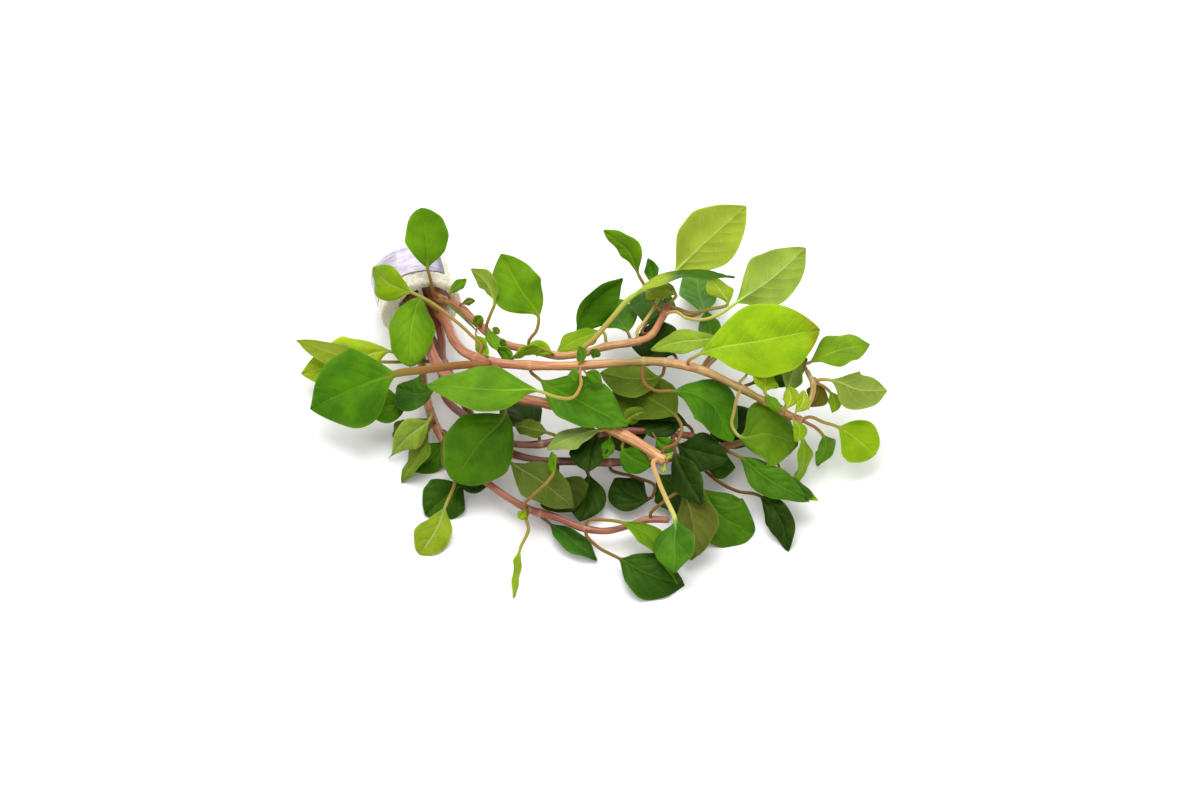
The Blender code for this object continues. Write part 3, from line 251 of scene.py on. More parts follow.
# small leaves that are one piece with their stem's node
youngLeaves = {
    "back_twig": dict(stem="stem_back", width=5, turn=50, look="bright", stalk=[(-14.4, 13.8, 25)],
        blade=[(-17.1, 15.3, 26.5), (-21.6, 15, 28), (-27, 12.6, 28)]),
    "back_scale": dict(stem="stem_back", width=12, turn=-15, look="mid", stalk=[(9, 18.6, 20.5)],
        blade=[(8.4, 20.1, 18.2), (5.4, 24.6, 14.8), (1.8, 30.9, 12.5)]),
    "back_end": dict(stem="stem_back", width=8, turn=140, look="bright", stalk=[(21.6, 29.7, 27.5)],
        blade=[(22.8, 31.2, 28.5), (18.9, 33, 28.8), (13.5, 30.3, 28.5)]),
    "low_left": dict(stem="stem_low", width=7, turn=125, look="olive", stalk=[(-52.5, -6, 7)],
        blade=[(-57, -6.3, 7.5), (-59.7, -8.1, 6), (-62.1, -11.1, 4)]),
    "low_front": dict(stem="stem_low", width=10, turn=-15, look="mid", stalk=[(-46.2, -9.6, 3.5)],
        blade=[(-46.8, -12, 3.5), (-49.8, -16.5, 2), (-55.5, -21.6, 0.5)]),
    "middle_twig": dict(stem="stem_middle", width=8, turn=-45, look="olive", stalk=[(-13.2, -10.8, 16)],
        blade=[(-15.3, -9.9, 16.5), (-19.5, -9, 17), (-25.5, -7.2, 17)]),
    "dark_front": dict(stem="stem_dark", width=16, turn=170, look="dark", tint=(1.0, 0.9, 1.0),
        stalk=[(-12.6, -20.4, 10.5)], blade=[(-12.9, -22.8, 9.5), (-11.1, -27.3, 8), (-8.1, -33.3, 5)]),
    "dark_loop": dict(stem="stem_dark", width=13, turn=-20, look="dark",
        stalk=[(3, -20.1, 9), (9.9, -22.8, 7.5), (16.5, -26.1, 6.5)],
        blade=[(15.3, -29.1, 5.5), (9.6, -28.5, 4.5), (4.2, -23.4, 5)]),
    "dark_scale": dict(stem="stem_dark", width=9, turn=20, look="deep", stalk=[(31.8, -16.8, 7.5)],
        blade=[(31.5, -17.7, 6.8), (35.1, -19.2, 6), (40.5, -20.1, 5)]),
    "top_scale": dict(stem="stem_top", width=7, turn=0, look="mid",
        stalk=[(31.5, 11.4, 24), (33.6, 14.4, 22)],
        blade=[(34.2, 16.2, 21.5), (33, 21, 20), (31.8, 26.7, 19)]),
    "tip_front": dict(stem="stem_tip", width=8, turn=30, look="olive", tint=(1.3, 0.8, 1.0),
        stalk=[(64.5, 6, 22.5)], blade=[(65.1, 5.1, 22), (64.8, 1.5, 20.5), (62.7, -2.1, 18.5)]),
    "tip_side": dict(stem="stem_tip", width=4, turn=0, look="bright", stalk=[(66.0, 4.5, 22)],
        blade=[(68.4, 2.7, 20), (70.2, -1.2, 17), (69.3, -3.9, 15.5)]),
    # from here on mostly leaves that fill gaps deep in the bunch; the dark look on most of them is painted shade
    "middle_back": dict(stem="stem_middle", width=13, turn=-40, look="dark", stalk=[(-18, -12, 12.5)],
        blade=[(-18.6, -9.6, 11.5), (-23.4, -4.5, 11), (-29.4, 0.6, 10)]),
    "middle_shade": dict(stem="stem_middle", width=13, turn=40, look="dark", stalk=[(0, -8.1, 14)],
        blade=[(1.2, -6.6, 13.5), (7.8, -1.5, 13), (15.6, 3, 12)]),
    "middle_right": dict(stem="stem_middle", width=12, turn=10, look="dark", stalk=[(21.6, -11.4, 13)],
        blade=[(22.8, -12.9, 12.8), (30, -15.6, 13.8), (38.4, -17.4, 13.3)]),
    "middle_far": dict(stem="stem_middle", width=13, turn=-30, look="dark", stalk=[(27.6, -9.3, 15)],
        blade=[(26.4, -7.8, 15.3), (18.6, -6.3, 16), (9.6, -5.4, 15.5)]),
    "top_shade": dict(stem="stem_top", width=13, turn=30, look="deep", stalk=[(43.2, 4.2, 23)],
        blade=[(45, 4.8, 22), (53.4, 9, 22.5), (62.1, 12.3, 21.5)]),
    "top_end": dict(stem="stem_top", width=9, turn=-20, look="bright", stalk=[(49.8, 0.6, 24.2)],
        blade=[(49.2, 2.1, 25.2), (49.2, 5.4, 26.2), (50.7, 8.4, 26.4)]),
    "top_under": dict(stem="stem_top", width=14, turn=-20, look="dark", stalk=[(22.8, 12, 26.5)],
        blade=[(22.2, 13.5, 23), (17.4, 16.8, 19.5), (9, 16.8, 17)]),
    "top_low": dict(stem="stem_top", width=12, turn=20, look="deep", stalk=[(31.8, 10.5, 25)],
        blade=[(33.6, 12.3, 23.5), (39.9, 15.9, 22), (47.4, 19.5, 20)]),
    "cut_fill": dict(stem="stem_cut", width=12, turn=-15, look="dark", stalk=[(0, -8.7, 17.3)],
        blade=[(-0.9, -10.2, 17), (-3, -15.3, 16), (-3.6, -21.6, 14)]),
    "cut_right": dict(stem="stem_cut", width=9, turn=-10, look="mid", stalk=[(7.2, -12, 18.5)],
        blade=[(6.6, -13.8, 17.5), (9.6, -17.4, 16.5), (15.3, -19.8, 15.5)]),
    "dark_right": dict(stem="stem_dark", width=14, turn=10, look="dark", stalk=[(31.2, -14.1, 9.8)],
        blade=[(32.4, -12.3, 9.5), (39.6, -8.4, 9), (47.4, -3.6, 8)]),
    "back_shade": dict(stem="stem_back", width=14, turn=10, look="deep", stalk=[(12.6, 20.1, 22)],
        blade=[(13.5, 22.2, 20), (15.6, 28.2, 17.5), (17.4, 34.2, 15)]),
    "dark_back": dict(stem="stem_dark", width=13, turn=-150, look="dark", stalk=[(-1.5, -16.5, 9.5)],
        blade=[(-0.6, -14.7, 8.5), (6.3, -9.9, 8), (15.3, -6.0, 7)]),
    "dark_under": dict(stem="stem_dark", width=12, turn=10, look="dark", stalk=[(15.9, -19.8, 9)],
        blade=[(16.8, -21.6, 8), (21.6, -27.6, 5), (24.6, -34.8, 2)]),
}

# buds and shoots at the joints of the stems, too small for the solids
sprouts = {
    "bud_plug": dict(stem="stem_back", width=4, turn=30, look="fresh", radius=0.35,
        stalk=[(-45.3, 31.2, 21.5)], blade=[(-45, 31.8, 22.5), (-42.9, 33.9, 24), (-39.9, 36.3, 25)]),
    "bud_side": dict(stem="stem_back", width=2.6, turn=20, look="olive", radius=0.3,
        stalk=[(-42, 28.5, 22.2)], blade=[(-41.4, 28.8, 23), (-39.6, 29.4, 24), (-37.2, 29.7, 25)]),
    "bud_round": dict(stem="stem_back", width=3.4, turn=0, look="bud", radius=0.35, outline="round",
        stalk=[(-37.2, 22.8, 22.4)], blade=[(-37.5, 22.8, 22.8), (-36.3, 24, 24.3), (-35.4, 25.2, 25)]),
    "bud_second": dict(stem="stem_back", width=3, turn=20, look="bud", radius=0.3, outline="round",
        stalk=[(-32.1, 19.2, 23.2)], blade=[(-31.8, 19.8, 23.6), (-31.2, 20.7, 24.5), (-30.3, 21.6, 25)]),
    "bud_third": dict(stem="stem_back", width=2.8, turn=0, look="mid", radius=0.3, outline="round",
        stalk=[(-29.7, 16.8, 23.4)], blade=[(-29.7, 16.5, 23.8), (-29.1, 17.1, 24.5), (-28.2, 17.7, 25)]),
    "shoot_fork": dict(stem="stem_back", width=4.4, turn=-25, look="bright", radius=0.3,
        stalk=[(-36.6, 21.6, 22.6)], blade=[(-37.2, 20.1, 23), (-35.4, 16.5, 25), (-33.3, 12.9, 29.3)]),
    "shoot_small": dict(stem="stem_back", width=4, turn=20, look="fresh", radius=0.3,
        stalk=[(-34.2, 21, 22.9)], blade=[(-33.9, 21, 23.5), (-32.1, 18, 24.7), (-30.6, 14.7, 25.8)]),
    "shoot_next": dict(stem="stem_back", width=4.2, turn=-15, look="mid", radius=0.3,
        stalk=[(-30.9, 17.1, 23.4)], blade=[(-30.9, 16.2, 24), (-28.5, 14.1, 25.2), (-25.8, 11.4, 27)]),
    "shoot_flat": dict(stem="stem_back", width=5, turn=10, look="bright", radius=0.3,
        stalk=[(-22.8, 15, 23.8)], blade=[(-22.8, 14.7, 24.3), (-18.9, 15.6, 25.5), (-14.4, 13.8, 26)]),
    "shoot_top": dict(stem="stem_back", width=5, turn=30, look="mid", radius=0.35,
        stalk=[(18.9, 30.6, 25.5)], blade=[(15.9, 34.5, 26), (15.6, 38.4, 28), (14.4, 42.6, 30)]),
    "low_crescent": dict(stem="stem_low", width=4, turn=20, look="dark", radius=0.35,
        stalk=[(-41.4, -20.7, 5.5)], blade=[(-41.4, -21.6, 5), (-38.4, -26.1, 4.5), (-33.3, -25.5, 4.5)]),
    "low_bud": dict(stem="stem_low", width=3.2, turn=0, look="bright", radius=0.35, outline="round",
        stalk=[(-22.2, -33.3, 7.3)], blade=[(-22.2, -33.3, 7.6), (-23.1, -34.2, 7.8), (-24, -35.4, 7.5)]),
    "far_tip": dict(stem="stem_dark", width=5, turn=20, look="deep", radius=0.35, tip=(9.0, 5.0, 30.0),
        stalk=[(51.6, -13.5, 8.5)], blade=[(54, -21, 9), (59.4, -27, 8.8), (65.1, -30, 8.5)]),
    "joint_up": dict(stem="stem_top", width=3.6, turn=20, look="mid", radius=0.3,
        stalk=[(-6.3, 10.8, 30.4)], blade=[(-6, 10.8, 30.8), (-5.4, 13.2, 31.5), (-6.3, 16.2, 31.8)]),
    "joint_down": dict(stem="stem_top", width=3.4, turn=-20, look="mid", radius=0.3,
        stalk=[(-6.9, 9.6, 30.4)], blade=[(-6.9, 9.6, 30.8), (-8.1, 8.1, 31.5), (-7.2, 5.4, 31.6)]),
    "joint_right": dict(stem="stem_top", width=4.4, turn=0, look="mid", radius=0.3,
        stalk=[(-4.8, 9, 29.9)], blade=[(-4.5, 8.4, 30), (-2.4, 7.2, 29.6), (0.6, 5.1, 29)]),
    "joint_bud": dict(stem="stem_back", width=3.4, turn=0, look="mid", radius=0.3, outline="round",
        stalk=[(-2.4, 13.8, 24)], blade=[(-2.1, 12.6, 24.4), (-1.5, 13.8, 25), (-1.2, 15.3, 25.4)]),
    "under_cut": dict(stem="stem_cut", width=4.2, turn=0, look="mid", radius=0.3,
        stalk=[(3, -10.2, 18.9)], blade=[(3, -10.8, 18.3), (2.4, -14.1, 17.5), (1.2, -17.7, 16.5)]),
    "under_right": dict(stem="stem_middle", width=5, turn=0, look="mid", radius=0.3,
        stalk=[(15.9, -10.2, 16.2)], blade=[(16.5, -11.1, 16.3), (19.5, -13.5, 16.5), (23.4, -12.9, 16)]),
    "under_left": dict(stem="stem_middle", width=5, turn=0, look="olive", radius=0.3, tint=(1.4, 1.6, 1.0),
        stalk=[(6, -8.4, 16.5)], blade=[(6.3, -7.8, 16.8), (9.6, -4.8, 18), (14.1, -3, 18.5)]),
    "end_up": dict(stem="stem_top", width=5.4, turn=20, look="lime", radius=0.35,
        stalk=[(55.2, -3, 22.2)], blade=[(55.5, -2.7, 22.6), (57, 0.6, 24.2), (56.1, 4.2, 25.5)]),
    "end_right": dict(stem="stem_top", width=4.4, turn=-20, look="lime", radius=0.35,
        stalk=[(58.2, -4.5, 21.6)], blade=[(58.2, -4.2, 22), (60.3, -0.9, 23.6), (60.6, 3, 24.6)]),
    "end_down": dict(stem="stem_top", width=4.8, turn=25, look="bright", radius=0.35,
        stalk=[(57.6, -5.7, 21.6)], blade=[(57.6, -6, 22), (59.4, -8.7, 21.6), (58.2, -12.6, 20)]),
    "end_left": dict(stem="stem_top", width=4.4, turn=-30, look="fresh", radius=0.35,
        stalk=[(54.9, -3.6, 22.4)], blade=[(54.6, -3.3, 22.8), (52.2, -1.8, 23.8), (49.5, 1.8, 24.6)]),
    "cut_bud": dict(stem="stem_cut", width=1.9, turn=0, look="pale", radius=0.3, outline="round",
        stalk=[(19.5, -17.4, 22.2)], blade=[(19.8, -17.4, 22.4), (20.4, -16.8, 22.6), (21.3, -16.2, 22.7)]),
    "cut_bud_low": dict(stem="stem_cut", width=1.9, turn=0, look="pale", radius=0.3, outline="round",
        stalk=[(19.2, -19.5, 21.2)], blade=[(19.2, -19.8, 21.2), (18.9, -20.7, 21.1), (18.6, -21.6, 20.9)]),
    "loose_stalk": dict(stem="stem_top", width=1.0, turn=0, look="pale", radius=0.45,
        stalk=[(41.7, 5.4, 27)], blade=[(43.5, 7.2, 28), (43.8, 8.7, 28.3), (43.2, 10.5, 28.5)]),
    "left_sliver": dict(stem="stem_low", width=4, turn=-50, look="olive", radius=0.35,
        stalk=[(-46.8, -9.6, 8)], blade=[(-46.5, -10.2, 9), (-46.5, -15.9, 9.5), (-45, -22.2, 9)]),
    "plug_strand": dict(stem="stem_back", width=0.9, turn=0, look="olive", radius=0.3,
        stalk=[(-48.6, 31.2, 22.5)], blade=[(-47.7, 30.6, 24), (-42, 25.8, 25.2), (-35.7, 19.5, 25)]),
}


# points and curves

def seen(points):
    # x = across - mx, y = (up - z cos t) / sin t - my, z stays: from the tilted view to the frame
    points = np.array(points, float).reshape(-1, 3)
    depth = (points[:, 1] - points[:, 2] * math.cos(viewTilt)) / math.sin(viewTilt)
    return np.column_stack((points[:, 0] - middle[0], depth - middle[1], points[:, 2]))


def unit(vectors):
    return vectors / np.linalg.norm(vectors, axis=-1, keepdims=True)


def smooth(low, high, x):
    # 3t^2 - 2t^3 with t = (x - low) / (high - low), held between 0 and 1
    t = np.clip((x - low) / (high - low), 0.0, 1.0)
    return t * t * (3.0 - 2.0 * t)


def curveThrough(points, steps=16):
    # cubics between the points, whose slope at a point is the mean of both sides, the shorter counting more
    points = np.asarray(points, float)
    legs = np.diff(points, axis=0)
    lengths = np.linalg.norm(legs, axis=1)[:, None]
    slopes = legs / lengths
    inner = (slopes[:-1] * lengths[1:] + slopes[1:] * lengths[:-1]) / (lengths[:-1] + lengths[1:])
    tangents = np.vstack((slopes[:1], inner, slopes[-1:]))
    t = np.linspace(0.0, 1.0, steps, endpoint=False)[None, :, None]
    fromStart = (1 + 2 * t) * (1 - t) ** 2
    line = (fromStart * points[:-1, None] + (1 - fromStart) * points[1:, None]
            + lengths[:, None] * (t * (1 - t) ** 2 * tangents[:-1, None]
                                  + t * t * (t - 1) * tangents[1:, None]))
    line = np.vstack((line.reshape(-1, 3), points[-1:]))
    walked = np.concatenate(([0.0], np.cumsum(np.linalg.norm(np.diff(line, axis=0), axis=1))))
    return line, walked


def onCurve(line, walked, distances):
    slopes = np.gradient(line, walked, axis=0)
    points = np.column_stack([np.interp(distances, walked, line[:, i]) for i in range(3)])
    directions = np.column_stack([np.interp(distances, walked, slopes[:, i]) for i in range(3)])
    return points, unit(directions)


def carried(directions, start, side):
    # side(i + 1) = side(i) made square to the next direction, from ring start both ways, so without twist
    sides = np.zeros_like(directions)
    sides[start] = side
    for order in (range(start + 1, len(directions)), range(start - 1, -1, -1)):
        last = start
        for ring in order:
            sides[ring] = unit(sides[last] - directions[ring] * np.dot(sides[last], directions[ring]))
            last = ring
    return sides


def hashed(cell, seed):
    # a number from 0 to 1 for each whole-numbered cell, by multiplying and shifting its three numbers
    n = (cell[..., 0] * 73856093) ^ (cell[..., 1] * 19349663) ^ (cell[..., 2] * 83492791) ^ (seed * 2654435761)
    n = ((n ^ (n >> 13)) * 1274126177) & 0xFFFFFFFF
    return ((n ^ (n >> 16)) & 0xFFFFFF) / float(0xFFFFFF)


def noise(points, size, seed=1):
    # value noise from -1 to 1: random corner values of cubes of this size, blended by 3t^2 - 2t^3
    scaled = points / size
    cell = np.floor(scaled).astype(np.int64)
    t = scaled - cell
    t = t * t * (3.0 - 2.0 * t)
    total = np.zeros(points.shape[:-1])
    for corner in np.ndindex(2, 2, 2):
        weight = np.prod(np.where(np.array(corner) == 1, t, 1.0 - t), axis=-1)
        total += weight * hashed(cell + np.array(corner), seed)
    return total * 2.0 - 1.0


def pores(points, size, seed=1):
    # distance to the nearest of one random point in each cube of this size, in cubes
    scaled = points / size
    cell = np.floor(scaled).astype(np.int64)
    nearest = np.full(points.shape[:-1], 9.0)
    for step in np.ndindex(3, 3, 3):
        near = cell + np.array(step) - 1
        spot = near + np.stack([hashed(near, seed + axis) for axis in range(3)], axis=-1)
        nearest = np.minimum(nearest, np.linalg.norm(scaled - spot, axis=-1))
    return nearest


# meshes and materials

def camel(name):
    first, *others = name.split("_")
    return first + "".join(word.capitalize() for word in others)


def gridSkin(name, grid, first=None, last=None, joined=False, fields=None, maps=None, ends=None):
    # a closed skin over rings of points: ring i is grid[i], each closed round; both ends shut on a point
    rings, around = grid.shape[:2]
    index = np.arange(rings * around).reshape(rings, around)
    low = index if joined else index[:-1]
    high = np.roll(index, -1, axis=0) if joined else index[1:]
    quads = np.stack((low, np.roll(low, -1, axis=1), np.roll(high, -1, axis=1), high), axis=-1).reshape(-1, 4)
    points = [grid.reshape(-1, 3)]
    faces = quads.tolist()
    if not joined:
        count = rings * around
        points += [np.reshape(first, (1, 3)), np.reshape(last, (1, 3))]
        faces += [(int(b), int(a), count) for a, b in zip(index[0], np.roll(index[0], -1))]
        faces += [(int(a), int(b), count + 1) for a, b in zip(index[-1], np.roll(index[-1], -1))]
    mesh = bpy.data.meshes.new(name)
    mesh.from_pydata((np.vstack(points) * metres).tolist(), [], faces)
    mesh.update()

    def whole(values):
        flat = values.reshape(rings * around, -1)
        return flat if joined else np.vstack((flat, flat[:around].mean(0), flat[-around:].mean(0)))

    for key, values in (fields or {}).items():
        values = whole(values)
        kind, slotName = ("FLOAT_COLOR", "color") if values.shape[1] == 4 else ("FLOAT", "value")
        mesh.attributes.new(key, kind, "POINT").data.foreach_set(slotName, values.ravel().astype(np.float32))
    corners = np.empty(len(mesh.loops), np.int32)
    mesh.loops.foreach_get("vertex_index", corners)
    for key, values in (maps or {}).items():
        layer = mesh.uv_layers.new(name=key)
        layer.data.foreach_set("uv", whole(values)[corners].ravel().astype(np.float32))
    mesh.shade_smooth()
    piece = bpy.data.objects.new(name, mesh)
    bpy.context.scene.collection.objects.link(piece)
    if signedVolume(mesh) < 0.0:
        mesh.flip_normals()
    return piece


def signedVolume(mesh):
    # sum over the faces of a . (b x c) / 6, on fans from each face's first corner
    mesh.calc_loop_triangles()
    corners = np.empty(len(mesh.loop_triangles) * 3, np.int32)
    mesh.loop_triangles.foreach_get("vertices", corners)
    points = np.empty(len(mesh.vertices) * 3)
    mesh.vertices.foreach_get("co", points)
    a, b, c = points.reshape(-1, 3)[corners.reshape(-1, 3)].transpose(1, 0, 2)
    return float(np.einsum("ij,ij->", a, np.cross(b, c)) / 6.0)


def put(tree, kind, values=None, **settings):
    # a node with its settings; a value that is a socket is linked, any other is set
    made = tree.nodes.new(kind)
    for key, value in settings.items():
        setattr(made, key, value)
    for key, value in (values or {}).items():
        if isinstance(value, bpy.types.NodeSocket):
            tree.links.new(value, made.inputs[key])
        else:
            made.inputs[key].default_value = value
    return made


def calc(tree, operation, a, b=None, c=None, clamp=False):
    values = {i: v for i, v in enumerate((a, b, c)) if v is not None}
    return put(tree, "ShaderNodeMath", values, operation=operation, use_clamp=clamp).outputs[0]


def blendColour(tree, share, a, b, mode="MIX"):
    made = put(tree, "ShaderNodeMix", data_type="RGBA", blend_type=mode)
    for key, value in ((0, share), (6, a), (7, b)):
        if isinstance(value, bpy.types.NodeSocket):
            tree.links.new(value, made.inputs[key])
        else:
            made.inputs[key].default_value = value if key == 0 else (*value, 1.0)
    return made.outputs[2]


def step(tree, value, low, high, toLow=0.0, toHigh=1.0):
    # a smooth step of value from low to high
    made = put(tree, "ShaderNodeMapRange", {0: value, 1: low, 2: high, 3: toLow, 4: toHigh},
               interpolation_type="SMOOTHSTEP")
    return made.outputs[0]


def attribute(tree, name):
    return put(tree, "ShaderNodeAttribute", attribute_name=name, attribute_type="GEOMETRY")


def newGroup(name, inputs, outputs):
    tree = bpy.data.node_groups.new(name, "ShaderNodeTree")
    for label, kind, value in inputs:
        socket = tree.interface.new_socket(label, in_out="INPUT", socket_type=kind)
        if value is not None:
            socket.default_value = (*value, 1.0) if kind == "NodeSocketColor" else value
    for label, kind in outputs:
        tree.interface.new_socket(label, in_out="OUTPUT", socket_type=kind)
    return tree, tree.nodes.new("NodeGroupInput").outputs, tree.nodes.new("NodeGroupOutput").inputs


number, colour = "NodeSocketFloat", "NodeSocketColor"


def makeMottle():
    # uneven growth: broad patches and fine specks, from Object coordinates
    tree, given, result = newGroup("mottle", (
        ("Patch Scale", number, 120.0), ("Speck Scale", number, 1500.0)), (
        ("Patches", number), ("Specks", number)))
    place = tree.nodes.new("ShaderNodeTexCoord").outputs["Object"]
    broad = put(tree, "ShaderNodeTexNoise", {"Vector": place, "Scale": given["Patch Scale"], "Detail": 3.0})
    fine = put(tree, "ShaderNodeTexNoise", {"Vector": place, "Scale": given["Speck Scale"], "Detail": 4.0,
                                            "Roughness": 0.65})
    tree.links.new(step(tree, broad.outputs["Fac"], 0.32, 0.68), result["Patches"])
    tree.links.new(step(tree, fine.outputs["Fac"], 0.3, 0.7), result["Specks"])
    return tree


def makeVeins():
    # midrib, side veins and the net between them, from the blade's own map: x counts the side veins,
    # y is the way from the midrib in half widths of the midrib
    tree, given, result = newGroup("veins", (("Vein Width", number, 0.07), ("Net Scale", number, 1000.0)), (
        ("Rib", number), ("Side Veins", number), ("Net", number), ("Height", number)))
    flat = put(tree, "ShaderNodeUVMap", uv_map="blade").outputs[0]
    parts = put(tree, "ShaderNodeSeparateXYZ", {0: flat}).outputs
    margin = attribute(tree, "margin").outputs["Fac"]
    stalk = attribute(tree, "stalk").outputs["Fac"]
    outward = calc(tree, "ABSOLUTE", parts[1])
    rib = step(tree, outward, 0.55, 1.15, 1.0, 0.0)
    off = calc(tree, "ABSOLUTE", calc(tree, "SUBTRACT", calc(tree, "FRACT", parts[0]), 0.5))
    width = calc(tree, "MULTIPLY", given["Vein Width"], step(tree, margin, 0.1, 1.0, 1.0, 0.25))
    side = calc(tree, "SUBTRACT", 1.0, calc(tree, "DIVIDE", off, width), clamp=True)
    side = calc(tree, "MULTIPLY", side, step(tree, margin, 0.82, 0.97, 1.0, 0.0))
    side = calc(tree, "MULTIPLY", side, calc(tree, "SUBTRACT", 1.0, stalk), clamp=True)
    place = tree.nodes.new("ShaderNodeTexCoord").outputs["Object"]
    cells = put(tree, "ShaderNodeTexVoronoi", {"Vector": place, "Scale": given["Net Scale"]},
                feature="DISTANCE_TO_EDGE")
    net = step(tree, cells.outputs["Distance"], 0.02, 0.13, 1.0, 0.0)
    net = calc(tree, "MULTIPLY", net, calc(tree, "SUBTRACT", 1.0, stalk))
    height = calc(tree, "ADD", calc(tree, "MULTIPLY", side, 0.8), calc(tree, "MULTIPLY", net, 0.16))
    for label, socket in (("Rib", rib), ("Side Veins", side), ("Net", net), ("Height", height)):
        tree.links.new(socket, result[label])
    return tree


mottleGroup = makeMottle()
veinGroup = makeVeins()


def group(tree, made, values=None):
    box = put(tree, "ShaderNodeGroup", node_tree=made)
    for key, value in (values or {}).items():
        box.inputs[key].default_value = value
    return box


def newMaterial(name):
    material = bpy.data.materials.new(name)
    material.use_nodes = True
    return material, material.node_tree, material.node_tree.nodes["Principled BSDF"]


# colours of the kinds of leaf: in full light and in its darker patches, underneath, of the veins, of the
# stalk; then how rough it is, and how clearly the side veins and the midrib show
leafLooks = dict(
    lime=dict(top=(0.34, 0.44, 0.004), dark=(0.24, 0.35, 0.002), under=(0.40, 0.50, 0.04),
              vein=(0.60, 0.64, 0.16), stalk=(0.34, 0.20, 0.05), gloss=0.45, show=0.40, rib=0.8),
    bright=dict(top=(0.21, 0.34, 0.001), dark=(0.13, 0.25, 0.0005), under=(0.24, 0.33, 0.02),
                vein=(0.38, 0.47, 0.05), stalk=(0.30, 0.16, 0.04), gloss=0.44, show=0.34, rib=0.75),
    fresh=dict(top=(0.11, 0.25, 0.0005), dark=(0.06, 0.165, 0.0003), under=(0.18, 0.25, 0.015),
               vein=(0.23, 0.35, 0.015), stalk=(0.25, 0.11, 0.03), gloss=0.43, show=0.30, rib=0.6),
    mid=dict(top=(0.062, 0.195, 0.0005), dark=(0.028, 0.115, 0.0003), under=(0.12, 0.19, 0.012),
             vein=(0.14, 0.27, 0.008), stalk=(0.24, 0.09, 0.03), gloss=0.42, show=0.28, rib=0.6),
    # deep: a darker green, partly the leaves' own tone and partly painted shade
    deep=dict(top=(0.032, 0.118, 0.0005), dark=(0.012, 0.060, 0.0003), under=(0.08, 0.12, 0.010),
              vein=(0.08, 0.17, 0.004), stalk=(0.20, 0.07, 0.025), gloss=0.42, show=0.26, rib=0.55),
    # dark: a near-black green that is painted shade for leaves deep between the others
    dark=dict(top=(0.014, 0.050, 0.0004), dark=(0.005, 0.022, 0.0003), under=(0.04, 0.065, 0.006),
              vein=(0.04, 0.085, 0.004), stalk=(0.12, 0.04, 0.018), gloss=0.42, show=0.22, rib=0.5),
    olive=dict(top=(0.10, 0.14, 0.005), dark=(0.05, 0.08, 0.002), under=(0.115, 0.145, 0.014),
               vein=(0.22, 0.26, 0.05), stalk=(0.22, 0.095, 0.035), gloss=0.46, show=0.42, rib=0.8),
    pale=dict(top=(0.24, 0.35, 0.02), dark=(0.15, 0.26, 0.008), under=(0.25, 0.34, 0.04),
              vein=(0.46, 0.52, 0.14), stalk=(0.34, 0.20, 0.06), gloss=0.50, show=0.45, rib=0.85),
    bud=dict(top=(0.15, 0.26, 0.004), dark=(0.07, 0.15, 0.001), under=(0.13, 0.20, 0.01),
             vein=(0.26, 0.36, 0.02), stalk=(0.20, 0.16, 0.02), gloss=0.45, show=0.30, rib=0.5),
)


def makeLeafMaterial(name, look):
    material, tree, shader = newMaterial(name)
    veins = group(tree, veinGroup).outputs
    mottle = group(tree, mottleGroup).outputs
    under = attribute(tree, "under").outputs["Fac"]
    stalk = attribute(tree, "stalk").outputs["Fac"]
    margin = attribute(tree, "margin").outputs["Fac"]
    tint = attribute(tree, "tint").outputs["Color"]
    blade = blendColour(tree, mottle["Patches"], look["dark"], look["top"])
    blade = blendColour(tree, calc(tree, "MULTIPLY", mottle["Specks"], 0.25), blade, look["dark"])
    back = blendColour(tree, calc(tree, "MULTIPLY", mottle["Patches"], 0.6), look["under"],
                       tuple(0.7 * part for part in look["under"]))
    skin = blendColour(tree, under, blade, back)
    skin = blendColour(tree, calc(tree, "MULTIPLY", veins["Net"], 0.22 * look["show"]), skin, look["vein"])
    skin = blendColour(tree, calc(tree, "MULTIPLY", veins["Side Veins"], look["show"]), skin, look["vein"])
    shown = calc(tree, "MULTIPLY", veins["Rib"], attribute(tree, "rib").outputs["Fac"])
    skin = blendColour(tree, calc(tree, "MULTIPLY", shown, look["rib"]), skin, look["vein"])
    skin = blendColour(tree, step(tree, margin, 0.90, 1.0, 0.0, 0.22), skin, look["vein"])
    skin = blendColour(tree, stalk, skin, look["stalk"])
    skin = blendColour(tree, 1.0, skin, tint, mode="MULTIPLY")
    tree.links.new(skin, shader.inputs["Base Color"])
    rough = calc(tree, "ADD", calc(tree, "MULTIPLY", under, 0.15), look["gloss"])
    rough = calc(tree, "ADD", rough, calc(tree, "MULTIPLY", mottle["Specks"], 0.12))
    tree.links.new(rough, shader.inputs["Roughness"])
    shader.inputs["Subsurface Weight"].default_value = 0.2
    shader.inputs["Subsurface Radius"].default_value = (0.6, 1.0, 0.05)
    shader.inputs["Subsurface Scale"].default_value = 0.001
    shader.inputs["Specular IOR Level"].default_value = 0.26
    shader.inputs["Specular Tint"].default_value = (0.75, 0.95, 0.30, 1.0)
    fine = calc(tree, "ADD", calc(tree, "MULTIPLY", mottle["Specks"], 0.12),
                calc(tree, "MULTIPLY", veins["Height"], step(tree, under, 0.3, 0.7, -1.0, 1.0)))
    bump = put(tree, "ShaderNodeBump", {"Height": fine, "Strength": 0.55, "Distance": 0.00022})
    tree.links.new(bump.outputs[0], shader.inputs["Normal"])
    return material


leafMaterials = {key: makeLeafMaterial(key + "Leaf", look) for key, look in leafLooks.items()}
print("leaf materials made:", len(leafMaterials))


# the plug's place

